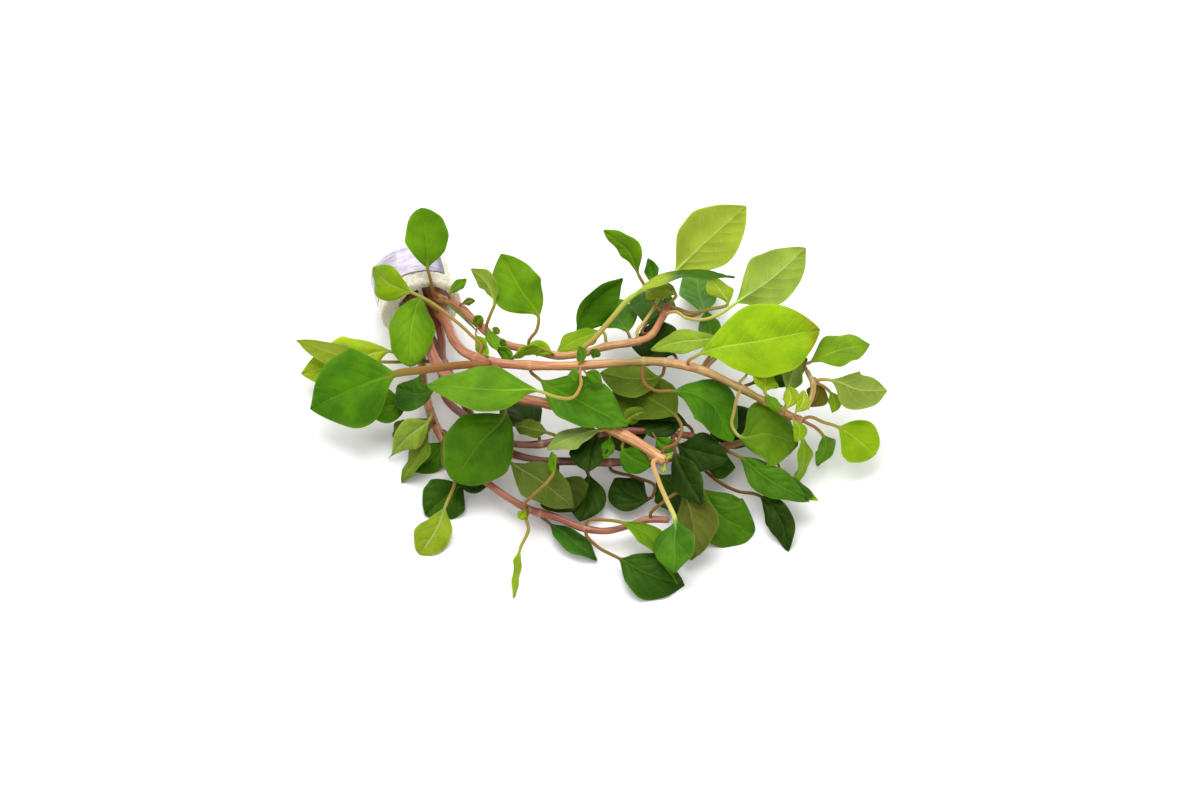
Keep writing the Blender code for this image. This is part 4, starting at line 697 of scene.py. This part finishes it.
plug = dict(
    radius=12.5, back=(-57.3, 38.7, 12.0), front=(-53.7, 27.0, 12.0),
    hole=7.6, holeOffset=(1.2, 1.6), holeRounding=1.0, rimRounding=0.8,
    # a brown patch round this spot at the top edge of the hole, reaching this far
    holeBrownPlace=(-52.5, 34.5, 20.0), holeBrownReach=5.5,
    stripFrom=45.0, stripTo=330.0, stripWidth=10.2, stripEdge=0.3, stripRadius=12.4, stripThickness=0.5,
    gap=0.35, behind=1.5, straightShare=0.6, pastPlug=1.0,
    # the second colour is painted shade for the pores, the third a brown patch at the hole's top edge
    foam=(0.97, 0.94, 0.80), pore=(0.78, 0.70, 0.48), stain=(0.20, 0.10, 0.045),
    # the last colour darkens the strip's upper right end, painted shade where the band turns away
    metal=(0.62, 0.57, 0.66), stripe=(0.30, 0.24, 0.40), endShade=(0.20, 0.17, 0.22),
)


def plugAxes():
    ends = seen([plug["back"], plug["front"]])
    length = float(np.linalg.norm(ends[1] - ends[0]))
    along = (ends[1] - ends[0]) / length
    return ends[0], along, np.array((-along[1], along[0], 0.0)), length


def stemLine(name):
    stem = stems[name]
    route = seen(stem["route"])
    if stem["inHole"] is not None:
        back, along, sideways, length = plugAxes()
        place = back + sideways * stem["inHole"][0] + np.array((0.0, 0.0, stem["inHole"][1]))
        straight = np.array((-plug["behind"], plug["straightShare"] * length, length + plug["pastPlug"]))
        route = np.vstack((place + straight[:, None] * along, route))
    return curveThrough(route)


stemLines = {name: stemLine(name) for name in stems}


def stemRadii(stem, shares):
    # radius at the cut end + (radius at the tip - radius at the cut end) share
    return stem["radius"] + (stem["tipRadius"] - stem["radius"]) * shares


def growingPlace(leaf):
    # the point of the stem that is nearest to the stalk's first point, and the direction between them
    line, walked = stemLines[leaf["stem"]]
    towards = seen(leaf["stalk"])[0]
    nearest = int(np.argmin(np.linalg.norm(line - towards, axis=1)))
    return walked[nearest] / walked[-1], line[nearest], unit(towards - line[nearest])


def halfWidth(outline, width, share):
    # width / 2 (1 - x^2)^q, with x the way from the widest part to the base or the tip
    widest, toBase, toTip = outlines[outline]
    x = np.where(share < widest, (widest - share) / widest, (share - widest) / (1.0 - widest))
    power = np.where(share < widest, toBase, toTip)
    return width / 2.0 * np.clip(1.0 - x * x, 0.0, 1.0) ** power


def makeLeaf(name, leaf, seed, onStem=False):
    # rings along the midrib from the foot of the stalk to the tip; each ring goes over the upper side
    # from right to left and back underneath: point = midrib + across w + up z, where z is the round of
    # the stalk at first, and then the sheet: cup + wave + swelling between veins +- half the thickness
    make = leafMake
    stem = stems[leaf["stem"]]
    place, foot, leaving = growingPlace(leaf)
    stalk = seen(leaf["stalk"])
    blade = seen(leaf["blade"])
    reach = stemRadii(stem, place) * (1.0 + make["swelling"]) + make["gap"]
    if not onStem:
        free = foot + leaving * reach
        stalk[0] = free + leaving * max(np.dot(stalk[0] - free, leaving), 0.8)
    foot = foot + leaving * (reach - make["sink"] - make["gap"])
    line, walked = curveThrough(np.vstack((foot, stalk, blade)))
    base = walked[16 * (1 + len(stalk))]
    length = walked[-1] - base
    stalkRings = max(3, round(base / make["stalkStep"]))
    bladeRings = max(14, round(length / make["ringStep"]))
    share = 1.0 - (1.0 - np.arange(bladeRings) / bladeRings) ** 1.12
    share = np.concatenate((np.full(stalkRings, 0.0), share))
    distances = np.concatenate((base * np.arange(stalkRings) / stalkRings, base + share[stalkRings:] * length))
    points, directions = onCurve(line, walked, distances)
    start = int(np.argmin(np.abs(share - 0.56)))
    flat = unit(np.cross(directions[start], toViewer))
    facing = unit(toViewer - directions[start] * np.dot(toViewer, directions[start]))
    turn = math.radians(leaf["turn"])
    sides = carried(directions, start, flat * math.cos(turn) + facing * math.sin(turn))
    rng = np.random.default_rng(seed)
    twist = np.radians(leaf.get("twist", rng.uniform(-9.0, 9.0)) * (share - 0.56) * 2.0)[:, None]
    sides = sides * np.cos(twist) + np.cross(sides, directions) * np.sin(twist)
    normals = np.cross(sides, directions)

    radius = leaf.get("radius", 0.5)
    cup = math.radians(leaf.get("cup", 4.0))
    lean = leaf.get("lean", 0.0)
    columns = max(10, min(make["columns"], round(leaf["width"] * 2.2)))
    around = np.arange(2 * columns) * math.pi / columns
    sheet = smooth(0.0, 0.16, share)[:, None]
    x = np.cos(around)[None, :]
    v = x * (1.0 - sheet) + sheet * (0.45 * x + 0.55 * x ** 3)
    upper = np.sin(around)[None, :]

    thickRib = (radius * (1.0 - share) ** 2)[:, None]
    rib = np.maximum(0.8 * thickRib, 0.15 + 0.2 * (1.0 - share[:, None]))
    half = halfWidth(leaf.get("outline", "ovate"), leaf["width"], share)[:, None]
    uneven = 1.0 + 0.022 * np.sin(share[:, None] * (19.0 + 5.0 * np.sign(v)) + rng.uniform(0.0, 6.0))
    uneven = uneven + 0.035 * np.sin(share[:, None] * (8.0 + 2.0 * np.sign(v)) + rng.uniform(0.0, 6.0))
    sideHalf = np.where(v > 0.0, half * (1.0 - lean), half * (1.0 + lean)) * uneven
    sideHalf = np.maximum(sideHalf, np.maximum(thickRib, rib * 0.6))
    w = v * sideHalf
    out = np.abs(v)

    along = share[:, None] * length
    count = (along - make["veinLean"] * np.abs(w) - 0.45 * np.abs(w) * out) / make["veinStep"]
    count = count + 0.4 * smooth(-1.0, 1.0, w / rib) + rng.uniform(0.0, 1.0)
    between = 1.0 - np.exp(-((count % 1.0 - 0.5) / 0.17) ** 2)
    swell = make["quilt"] * leaf.get("quilt", 1.0) * between * smooth(0.04, 0.3, out) * smooth(1.0, 0.72, out)
    wave = leaf.get("wave", 0.45) * out ** 2.2 * np.sin(
        2.0 * math.pi * (leaf.get("waves", 2.2) * share[:, None] + rng.uniform(0.0, 1.0)) + 1.9 * np.sign(w))
    wave = wave * np.minimum(1.0, half / 3.0)
    lift = math.sin(cup) * (np.sqrt(w * w + 0.5) - 0.7) + leaf.get("arch", 0.05) * half * 4.0 * out * (1.0 - out)
    rim = np.sqrt(np.clip(1.0 - out ** 14, 0.0, 1.0)) * make["thickness"] / 2.0
    ridge = np.exp(-(w / rib) ** 2)
    over = rim - make["groove"] * ridge * (1.0 - 0.6 * share[:, None])
    below = -rim - (np.maximum(thickRib * 0.9, 0.1) + make["ribDrop"] * (1.0 - share[:, None]) * 0.4) * ridge
    below = below - make["vein"] * np.exp(-((count % 1.0 - 0.5) / 0.09) ** 2) * smooth(0.95, 0.6, out)
    thin = np.where(upper >= 0.0, over, below) * np.minimum(1.0, np.abs(upper) * 6.0)
    z = (1.0 - sheet) * np.maximum(thickRib, 0.2) * upper + sheet * (lift + wave + swell + thin)
    grid = (points[:, None] + sides[:, None] * (w * math.cos(cup))[..., None] + normals[:, None] * z[..., None])
    grid = grid + normals[:, None] * (sheet * (0.35 * noise(grid, 6.0, seed) + 0.10 * noise(grid, 2.2, seed + 40)))[..., None]
    facingUp = (normals[:, None, 2] * upper) > 0.0
    grid[..., 2] = np.maximum(grid[..., 2], np.where(facingUp, 0.04 + 0.3 * np.abs(upper), 0.04))

    tint = np.array(leaf.get("tint", (1.0, 1.0, 1.0))) * (1.0 + rng.uniform(-0.08, 0.08))
    tint = tint * (1.0 + 0.16 * noise(grid, 8.0, seed + 60) + 0.06 * noise(grid, 2.5, seed + 80))[..., None]
    tip = np.array(leaf.get("tip", (1.0, 1.0, 1.0)))
    onWay = np.clip(distances / max(base, 0.1), 0.0, 1.0)[:, None, None]
    stalkTint = np.array(leaf.get("stalkTint", (1.0, 1.0, 1.0))) * (1.0 + onWay ** 2 * np.array((0.0, 0.75, 0.2)))
    nearTip = smooth(leaf.get("tipFrom", 0.82), leaf.get("tipFrom", 0.82) + 0.18, share[:, None] + 0.05 * out)[..., None]
    onStalk = np.maximum(1.0 - smooth(0.0, 0.07, share[:, None]) + 0.0 * out,
                         0.8 * ridge * smooth(leaf.get("ribRed", 0.25), 0.0, share[:, None]))
    colours = (tint * (1.0 - nearTip) + tint * tip * nearTip) * (1.0 - onStalk[..., None])
    colours = np.clip(colours + stalkTint * onStalk[..., None], 0.0, 8.0)
    colours = np.concatenate((colours, np.ones(colours.shape[:2] + (1,))), axis=-1)
    whole = np.zeros(w.shape)
    ribShare = smooth(0.0, 0.2, share) * smooth(1.0, 0.75, share) * leaf.get("rib", 0.75)
    fields = dict(tint=colours, under=smooth(0.2, -0.2, upper) + whole, stalk=onStalk, margin=out + whole,
                  rib=ribShare[:, None] + whole)
    tipPoint = line[-1] + np.array((0.0, 0.0, 0.0))
    tipPoint[2] = max(tipPoint[2], 0.12)
    piece = gridSkin(name, grid, grid[0].mean(0), tipPoint, fields=fields,
                     maps=dict(blade=np.stack((count, w / rib), axis=-1)))
    piece.data.materials.append(leafMaterials[leaf["look"]])
    return piece


# stems

barks = dict(
    pink=(0.42, 0.165, 0.085), red=(0.24, 0.055, 0.025), tan=(0.58, 0.31, 0.115), orange=(0.50, 0.215, 0.075),
    # dark: a near-black red-brown for the low stems in the middle of the bunch, partly their own colour and partly
    # painted shade
    olive=(0.24, 0.19, 0.035), green=(0.17, 0.21, 0.015), dark=(0.09, 0.026, 0.013), pale=(0.70, 0.50, 0.24),
)
stemColours = dict(
    stem_top=((0.0, "pink"), (0.36, "pink"), (0.47, "orange"), (0.58, "tan"), (0.66, "olive"),
              (0.75, "tan"), (0.9, "olive"), (1.0, "pink")),
    stem_back=((0.0, "pink"), (0.3, "pink"), (0.5, "orange"), (0.7, "tan"), (0.9, "orange"), (1.0, "red")),
    stem_middle=((0.0, "red"), (0.5, "dark"), (1.0, "red")),
    stem_low=((0.0, "pink"), (0.5, "pink"), (0.75, "red"), (1.0, "pink")),
    stem_cut=((0.0, "red"), (0.5, "pink"), (0.75, "orange"), (1.0, "tan")),
    stem_dark=((0.0, "dark"), (0.6, "dark"), (0.85, "red"), (1.0, "olive")),
    stem_tip=((0.0, "tan"), (1.0, "green")),
)
stemMake = dict(sides=22, ringStep=0.6, furrow=0.035, bump=0.05, streak=0.9)


def makeBarkMaterial():
    material, tree, shader = newMaterial("stemSkin")
    bark = attribute(tree, "bark").outputs["Color"]
    ring = attribute(tree, "ring").outputs["Fac"]
    cut = attribute(tree, "cut").outputs["Fac"]
    flat = put(tree, "ShaderNodeUVMap", uv_map="skin").outputs[0]
    drawn = put(tree, "ShaderNodeMapping", {"Vector": flat, "Scale": (1.0, 0.045, 1.0)}).outputs[0]
    streaks = put(tree, "ShaderNodeTexNoise", {"Vector": drawn, "Scale": 2.6, "Detail": 4.0, "Roughness": 0.6})
    streak = step(tree, streaks.outputs["Fac"], 0.35, 0.65)
    mottle = group(tree, mottleGroup).outputs
    # lengthwise streaks between a darker and a lighter copy of the bark: streaky bark colour and painted highlight
    # streaks
    light = blendColour(tree, 1.0, bark, (1.3, 1.45, 1.5), mode="MULTIPLY")
    shade = blendColour(tree, 1.0, bark, (0.72, 0.58, 0.5), mode="MULTIPLY")
    skin = blendColour(tree, streak, shade, light)
    # painted shade: the underside of each stem darkened toward a deep red-brown
    skin = blendColour(tree, calc(tree, "MULTIPLY", attribute(tree, "lower").outputs["Fac"], 0.6), skin,
                       (0.11, 0.026, 0.012))
    skin = blendColour(tree, calc(tree, "MULTIPLY", mottle["Patches"], 0.22), skin, (0.36, 0.10, 0.04))
    skin = blendColour(tree, calc(tree, "MULTIPLY", ring, 0.3), skin, barks["pale"])
    skin = blendColour(tree, cut, skin, (0.62, 0.60, 0.30))
    tree.links.new(skin, shader.inputs["Base Color"])
    rough = calc(tree, "ADD", 0.28, calc(tree, "MULTIPLY", mottle["Specks"], 0.14))
    tree.links.new(rough, shader.inputs["Roughness"])
    shader.inputs["Subsurface Weight"].default_value = 0.12
    shader.inputs["Subsurface Radius"].default_value = (1.0, 0.45, 0.15)
    shader.inputs["Subsurface Scale"].default_value = 0.0008
    shader.inputs["Specular IOR Level"].default_value = 0.5
    height = calc(tree, "ADD", streak, calc(tree, "MULTIPLY", mottle["Specks"], 0.4))
    bump = put(tree, "ShaderNodeBump", {"Height": height, "Strength": 0.3, "Distance": 0.00008})
    tree.links.new(bump.outputs[0], shader.inputs["Normal"])
    return material


barkMaterial = makeBarkMaterial()


def makeStem(name, seed):
    # a tube: radius (1 + swelling at each node + furrows cos(4 turn)), with the cut end closed over
    stem = stems[name]
    line, walked = stemLines[name]
    rings = round(walked[-1] / stemMake["ringStep"])
    distances = np.linspace(0.0, walked[-1], rings)
    points, directions = onCurve(line, walked, distances)
    nodes = [walked[-1] * growingPlace(leaf)[0] for leaf in (*leaves.values(), *youngLeaves.values())
             if leaf["stem"] == name]
    off = np.abs(distances[:, None] - np.array(nodes)[None, :]).min(axis=1)
    swell = leafMake["swelling"] * np.exp(-(off / leafMake["nodeLength"]) ** 2)
    ring = np.exp(-(off / 0.4) ** 2)
    sides = carried(directions, 0, unit(np.cross(directions[0], toViewer)))
    others = np.cross(directions, sides)
    turn = (np.arange(stemMake["sides"]) * 2.0 * math.pi / stemMake["sides"])[None, :]
    radii = (stemRadii(stem, distances / walked[-1]) * (0.96 + swell + 0.03 * ring))[:, None]
    radii = radii * (1.0 + stemMake["furrow"] * np.cos(4.0 * turn + 0.02 * distances[:, None]))
    around = np.cos(turn)[..., None] * sides[:, None] + np.sin(turn)[..., None] * others[:, None]
    grid = points[:, None] + radii[..., None] * around
    grid = grid + around * (stemMake["bump"] * noise(grid, 1.6, seed) + 0.07 * noise(grid, 5.0, seed + 1))[..., None]
    stops = stemColours[name]
    places = distances / walked[-1]
    bark = np.column_stack([np.interp(places, [stop[0] for stop in stops], [barks[stop[1]][i] for stop in stops])
                            for i in range(3)] + [np.ones(rings)])
    full = np.ones(turn.shape)
    cut = np.zeros(rings)
    if stem["inHole"] is not None:
        shrink = np.array((0.3, 0.62, 0.9))
        dome = np.array((0.25, 0.12, 0.0))[:, None, None]
        cap = points[0] + (grid[0] - points[0]) * shrink[:, None, None] + directions[0] * dome
        grid = np.concatenate((cap, grid))
        cut = np.concatenate((np.ones(3), cut))
        bark, ring = np.vstack((bark[:3], bark)), np.concatenate((ring[:3], ring))
        distances = np.concatenate((distances[:3] * 0.0, distances))
    # how far each point faces downward, for the painted shade on the stems' undersides
    lower = smooth(0.45, -0.55, unit(grid - grid.mean(axis=1, keepdims=True))[..., 2])
    fields = dict(bark=bark[:, None, :] * full[..., None], ring=ring[:, None] * full, cut=cut[:, None] * full,
                  lower=lower)
    skin = np.stack((turn / (2.0 * math.pi) * 10.0 + 0.0 * distances[:, None], distances[:, None] * full), axis=-1)
    piece = gridSkin(camel(name), grid, grid[0].mean(0), grid[-1].mean(0) + directions[-1] * 0.5,
                     fields=fields, maps=dict(skin=skin))
    piece.data.materials.append(barkMaterial)
    return piece


for seed, name in enumerate(stems):
    piece = makeStem(name, 300 + seed)
    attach(piece, "root")
    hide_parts(name)
print("stems made:", len(stems))

for seed, (name, leaf) in enumerate(leaves.items()):
    piece = makeLeaf(camel(name), leaf, seed)
    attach(piece, "root")
    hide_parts(name)
for seed, (name, leaf) in enumerate((youngLeaves | sprouts).items()):
    piece = makeLeaf(camel(name), leaf, 100 + seed, onStem=True)
    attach(piece, "root")
print("leaves made:", len(leaves) + len(youngLeaves), "and sprouts:", len(sprouts))


# the foam plug and its metal strip

def aroundPlug(distance, radii, angles, offset=(0.0, 0.0)):
    # back + along d + sideways (ox + r cos a) + up (oz + r sin a)
    back, along, sideways, length = plugAxes()
    upright = np.array((0.0, 0.0, 1.0))
    return (back + along * distance[..., None] + sideways * (offset[0] + radii * np.cos(angles))[..., None]
            + upright * (offset[1] + radii * np.sin(angles))[..., None])


def makeFoamMaterial():
    material, tree, shader = newMaterial("foamSkin")
    mottle = group(tree, mottleGroup, {"Patch Scale": 260.0, "Speck Scale": 2600.0}).outputs
    deep = attribute(tree, "pore").outputs["Fac"]
    stain = attribute(tree, "stain").outputs["Fac"]
    place = tree.nodes.new("ShaderNodeTexCoord").outputs["Object"]
    cells = put(tree, "ShaderNodeTexVoronoi", {"Vector": place, "Scale": 2100.0})
    hole = step(tree, cells.outputs["Distance"], 0.2, 0.55, 1.0, 0.0)
    skin = blendColour(tree, calc(tree, "MULTIPLY", mottle["Patches"], 0.3), plug["foam"], (0.92, 0.88, 0.68))
    # painted shade in the small pores: darker tan round the middle of each Voronoi cell
    skin = blendColour(tree, calc(tree, "MULTIPLY", hole, 0.35), skin, plug["pore"])
    # painted shade in the dented pores: darker the deeper the dent
    skin = blendColour(tree, deep, skin, plug["pore"])
    # a brown patch at the hole's top edge, broken up by the broad patches
    holeBrownShare = calc(tree, "MULTIPLY", stain, step(tree, mottle["Patches"], 0.0, 0.9, 0.55, 1.0))
    skin = blendColour(tree, holeBrownShare, skin, plug["stain"])
    tree.links.new(skin, shader.inputs["Base Color"])
    shader.inputs["Roughness"].default_value = 0.95
    shader.inputs["Specular IOR Level"].default_value = 0.2
    shader.inputs["Subsurface Weight"].default_value = 0.3
    shader.inputs["Subsurface Radius"].default_value = (1.0, 0.8, 0.5)
    shader.inputs["Subsurface Scale"].default_value = 0.0015
    height = calc(tree, "SUBTRACT", calc(tree, "MULTIPLY", mottle["Specks"], 0.4), hole)
    bump = put(tree, "ShaderNodeBump", {"Height": height, "Strength": 0.8, "Distance": 0.0003})
    tree.links.new(bump.outputs[0], shader.inputs["Normal"])
    return material


def makeFoamPlug():
    # rings along the plug's outline, out from the back face, over the front and in through the hole,
    # each pressed inward by pores: depth 0.5 (1 - distance to the nearest pore)^2
    length = plugAxes()[3]
    rim, lip = plug["rimRounding"], plug["holeRounding"]
    groove = plug["stripRadius"] - plug["stripThickness"] - plug["gap"]
    endGroove = plug["stripEdge"] + plug["stripWidth"] + plug["gap"]
    outer, hole = plug["radius"], plug["hole"]
    corners = [(0.0, hole, 1), (0.0, hole + 1.2, 1), (0.0, groove - 0.6, 0), (0.5, groove, 0), (endGroove, groove, 0),
               (endGroove + 0.1, outer - 0.2, 0), (endGroove + 0.5, outer, 0), (length - rim, outer, 0),
               (length - 0.3 * rim, outer - 0.3 * rim, 0), (length, outer - rim, 0), (length, hole + lip, 1),
               (length - 0.3 * lip, hole + 0.3 * lip, 1), (length - lip, hole, 1), (0.0, hole, 1)]
    corners = np.array(corners, float)
    walked = np.concatenate(([0.0], np.cumsum(np.linalg.norm(np.diff(corners[:, :2], axis=0), axis=1))))
    rings = round(walked[-1] / 0.34)
    t = np.linspace(0.0, walked[-1], rings, endpoint=False)
    d, r, inside = (np.interp(t, walked, corners[:, i])[:, None] for i in range(3))
    count = 210
    angles = (np.arange(count) * 2.0 * math.pi / count)[None, :]
    offset = np.array(plug["holeOffset"])
    grid = aroundPlug(d + 0.0 * angles, r + 0.0 * angles, angles + 0.0 * d)
    back, along, sideways, length = plugAxes()
    grid = grid + inside[..., None] * (sideways * offset[0] + np.array((0.0, 0.0, offset[1])))
    slopes = np.roll(grid, -1, axis=0) - np.roll(grid, 1, axis=0)
    turning = np.roll(grid, -1, axis=1) - np.roll(grid, 1, axis=1)
    inward = unit(np.cross(slopes, turning))
    near = pores(grid, 1.25, 5)
    small = pores(grid, 0.8, 9)
    depth = 0.4 * np.clip(1.0 - near / 0.5, 0.0, 1.0) ** 1.3 + 0.25 * np.clip(1.0 - small / 0.5, 0.0, 1.0)
    grid = grid + inward * (depth + 0.16 * (noise(grid, 2.6, 7) + 1.0) * 0.5)[..., None]
    grid[..., 2] = np.maximum(grid[..., 2], 0.03)
    # nearness to the spot at the hole's top edge, for the brown patch there
    holeBrownPlace = seen([plug["holeBrownPlace"]])[0]
    stain = smooth(plug["holeBrownReach"], 1.0, np.linalg.norm(grid - holeBrownPlace, axis=-1)
                   * (1.0 + 0.25 * noise(grid, 1.7, 11)))
    # the pore depth also sets the painted shade in the pores
    piece = gridSkin("foamPlug", grid, joined=True,
                     fields=dict(pore=np.clip(depth * 1.6, 0.0, 0.85), stain=stain))
    piece.data.materials.append(makeFoamMaterial())
    return piece


def makeStripMaterial():
    material, tree, shader = newMaterial("stripSkin")
    mottle = group(tree, mottleGroup, {"Patch Scale": 420.0, "Speck Scale": 3200.0}).outputs
    flat = put(tree, "ShaderNodeUVMap", uv_map="strip").outputs[0]
    parts = put(tree, "ShaderNodeSeparateXYZ", {0: flat}).outputs
    stretched = put(tree, "ShaderNodeMapping", {"Vector": flat, "Scale": (0.06, 1.0, 1.0)}).outputs[0]
    lines = put(tree, "ShaderNodeTexNoise", {"Vector": stretched, "Scale": 2.2, "Detail": 5.0, "Roughness": 0.7})
    line = step(tree, lines.outputs["Fac"], 0.42, 0.6)
    skin = blendColour(tree, calc(tree, "MULTIPLY", line, 0.75), plug["metal"], plug["stripe"])
    skin = blendColour(tree, calc(tree, "MULTIPLY", mottle["Patches"], 0.45), skin, (0.80, 0.76, 0.80))
    # painted shade: the strip goes darker over the first millimetres of its run, where the band turns away at its
    # upper right end
    skin = blendColour(tree, step(tree, parts[0], 1.0, 3.2, 0.75, 0.0), skin, plug["endShade"])
    tree.links.new(skin, shader.inputs["Base Color"])
    shader.inputs["Metallic"].default_value = 0.85
    rough = calc(tree, "ADD", 0.36, calc(tree, "MULTIPLY", mottle["Specks"], 0.22))
    tree.links.new(rough, shader.inputs["Roughness"])
    height = calc(tree, "ADD", calc(tree, "MULTIPLY", line, 0.6), mottle["Specks"])
    bump = put(tree, "ShaderNodeBump", {"Height": height, "Strength": 0.35, "Distance": 0.00012})
    tree.links.new(bump.outputs[0], shader.inputs["Normal"])
    return material


def makeMetalStrip():
    # a flat strip round the plug: each ring is its rounded cross-section, 0.1 mm of dents all over
    angles = np.radians(np.linspace(plug["stripFrom"], plug["stripTo"], 260))[:, None]
    turn = (np.arange(44) * 2.0 * math.pi / 44)[None, :]
    square = 0.16
    across = np.sign(np.cos(turn)) * np.abs(np.cos(turn)) ** square
    up = np.sign(np.sin(turn)) * np.abs(np.sin(turn)) ** 0.6
    wide, thick = plug["stripWidth"] / 2.0, plug["stripThickness"] / 2.0
    d = plug["stripEdge"] + wide + (wide - 0.02) * np.clip(across * np.abs(np.cos(turn)) ** 0.5, -1, 1)
    r = plug["stripRadius"] - thick + thick * up * 0.9
    grid = aroundPlug(d + 0.0 * angles, r + 0.0 * angles, angles + 0.0 * d)
    back, along = plugAxes()[:2]
    flatOut = unit(grid - (back + along * d[..., None]))
    dents = 0.1 * noise(grid, 3.2, 21) - 0.06
    grid = grid + flatOut * dents[..., None]
    low = np.where(up > 0.0, 0.03, 0.4)
    grid[..., 2] = np.maximum(grid[..., 2], low + 0.0 * angles)
    run = np.radians(plug["stripTo"] - plug["stripFrom"]) * plug["stripRadius"]
    flat = np.stack((np.linspace(0.0, run, 260)[:, None] + 0.0 * turn, d + 0.0 * angles), axis=-1)
    piece = gridSkin("metalStrip", grid, grid[0].mean(0), grid[-1].mean(0), maps=dict(strip=flat))
    piece.data.materials.append(makeStripMaterial())
    return piece


for node, maker in (("foam_plug", makeFoamPlug), ("metal_strip", makeMetalStrip)):
    piece = maker()
    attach(piece, "root")
    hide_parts(node)
print("plug and strip made")


# table, light and camera

def makeStudio():
    half = studio["floorSize"] / 2.0
    mesh = bpy.data.meshes.new("table")
    mesh.from_pydata([(-half, -half, 0.0), (half, -half, 0.0), (half, half, 0.0), (-half, half, 0.0)],
                     [], [(0, 1, 2, 3)])
    table = bpy.data.objects.new("table", mesh)
    bpy.context.scene.collection.objects.link(table)
    material, tree, shader = newMaterial("tableTop")
    shader.inputs["Base Color"].default_value = (*studio["floorColour"], 1.0)
    shader.inputs["Roughness"].default_value = 0.9
    shader.inputs["Specular IOR Level"].default_value = 0.1
    mesh.materials.append(material)
    world = bpy.data.worlds.new("softLight")
    world.use_nodes = True
    world.node_tree.nodes["Background"].inputs["Color"].default_value = (1.0, 1.0, 1.0, 1.0)
    world.node_tree.nodes["Background"].inputs["Strength"].default_value = studio["worldStrength"]
    bpy.context.scene.world = world
    for name in ("key", "fill"):
        light = bpy.data.lights.new(name + "Light", "AREA")
        light.shape = "DISK"
        light.size = studio[name + "Size"]
        light.energy = studio[name + "Power"]
        lamp = bpy.data.objects.new(name + "Light", light)
        place = np.array(studio[name + "Place"])
        lamp.location = place
        aim = Vector(-place)
        lamp.rotation_euler = aim.to_track_quat("-Z", "Y").to_euler()
        bpy.context.scene.collection.objects.link(lamp)


def makeCamera():
    # a long lens far away, so that the view is almost without perspective, as in the photo
    view = bpy.data.cameras.new("camera")
    view.sensor_width = 36.0
    view.lens = studio["lens"]
    view.clip_end = 50.0
    camera = bpy.data.objects.new("camera", view)
    distance = studio["frameWidth"] * studio["lens"] / view.sensor_width
    target = np.array(studio["target"])
    camera.location = target + toViewer * distance
    camera.rotation_euler = (math.pi / 2.0 - viewTilt, 0.0, 0.0)
    bpy.context.scene.collection.objects.link(camera)
    bpy.context.scene.camera = camera


makeStudio()
makeCamera()
bpy.context.scene.view_settings.view_transform = "Standard"
print("studio ready")
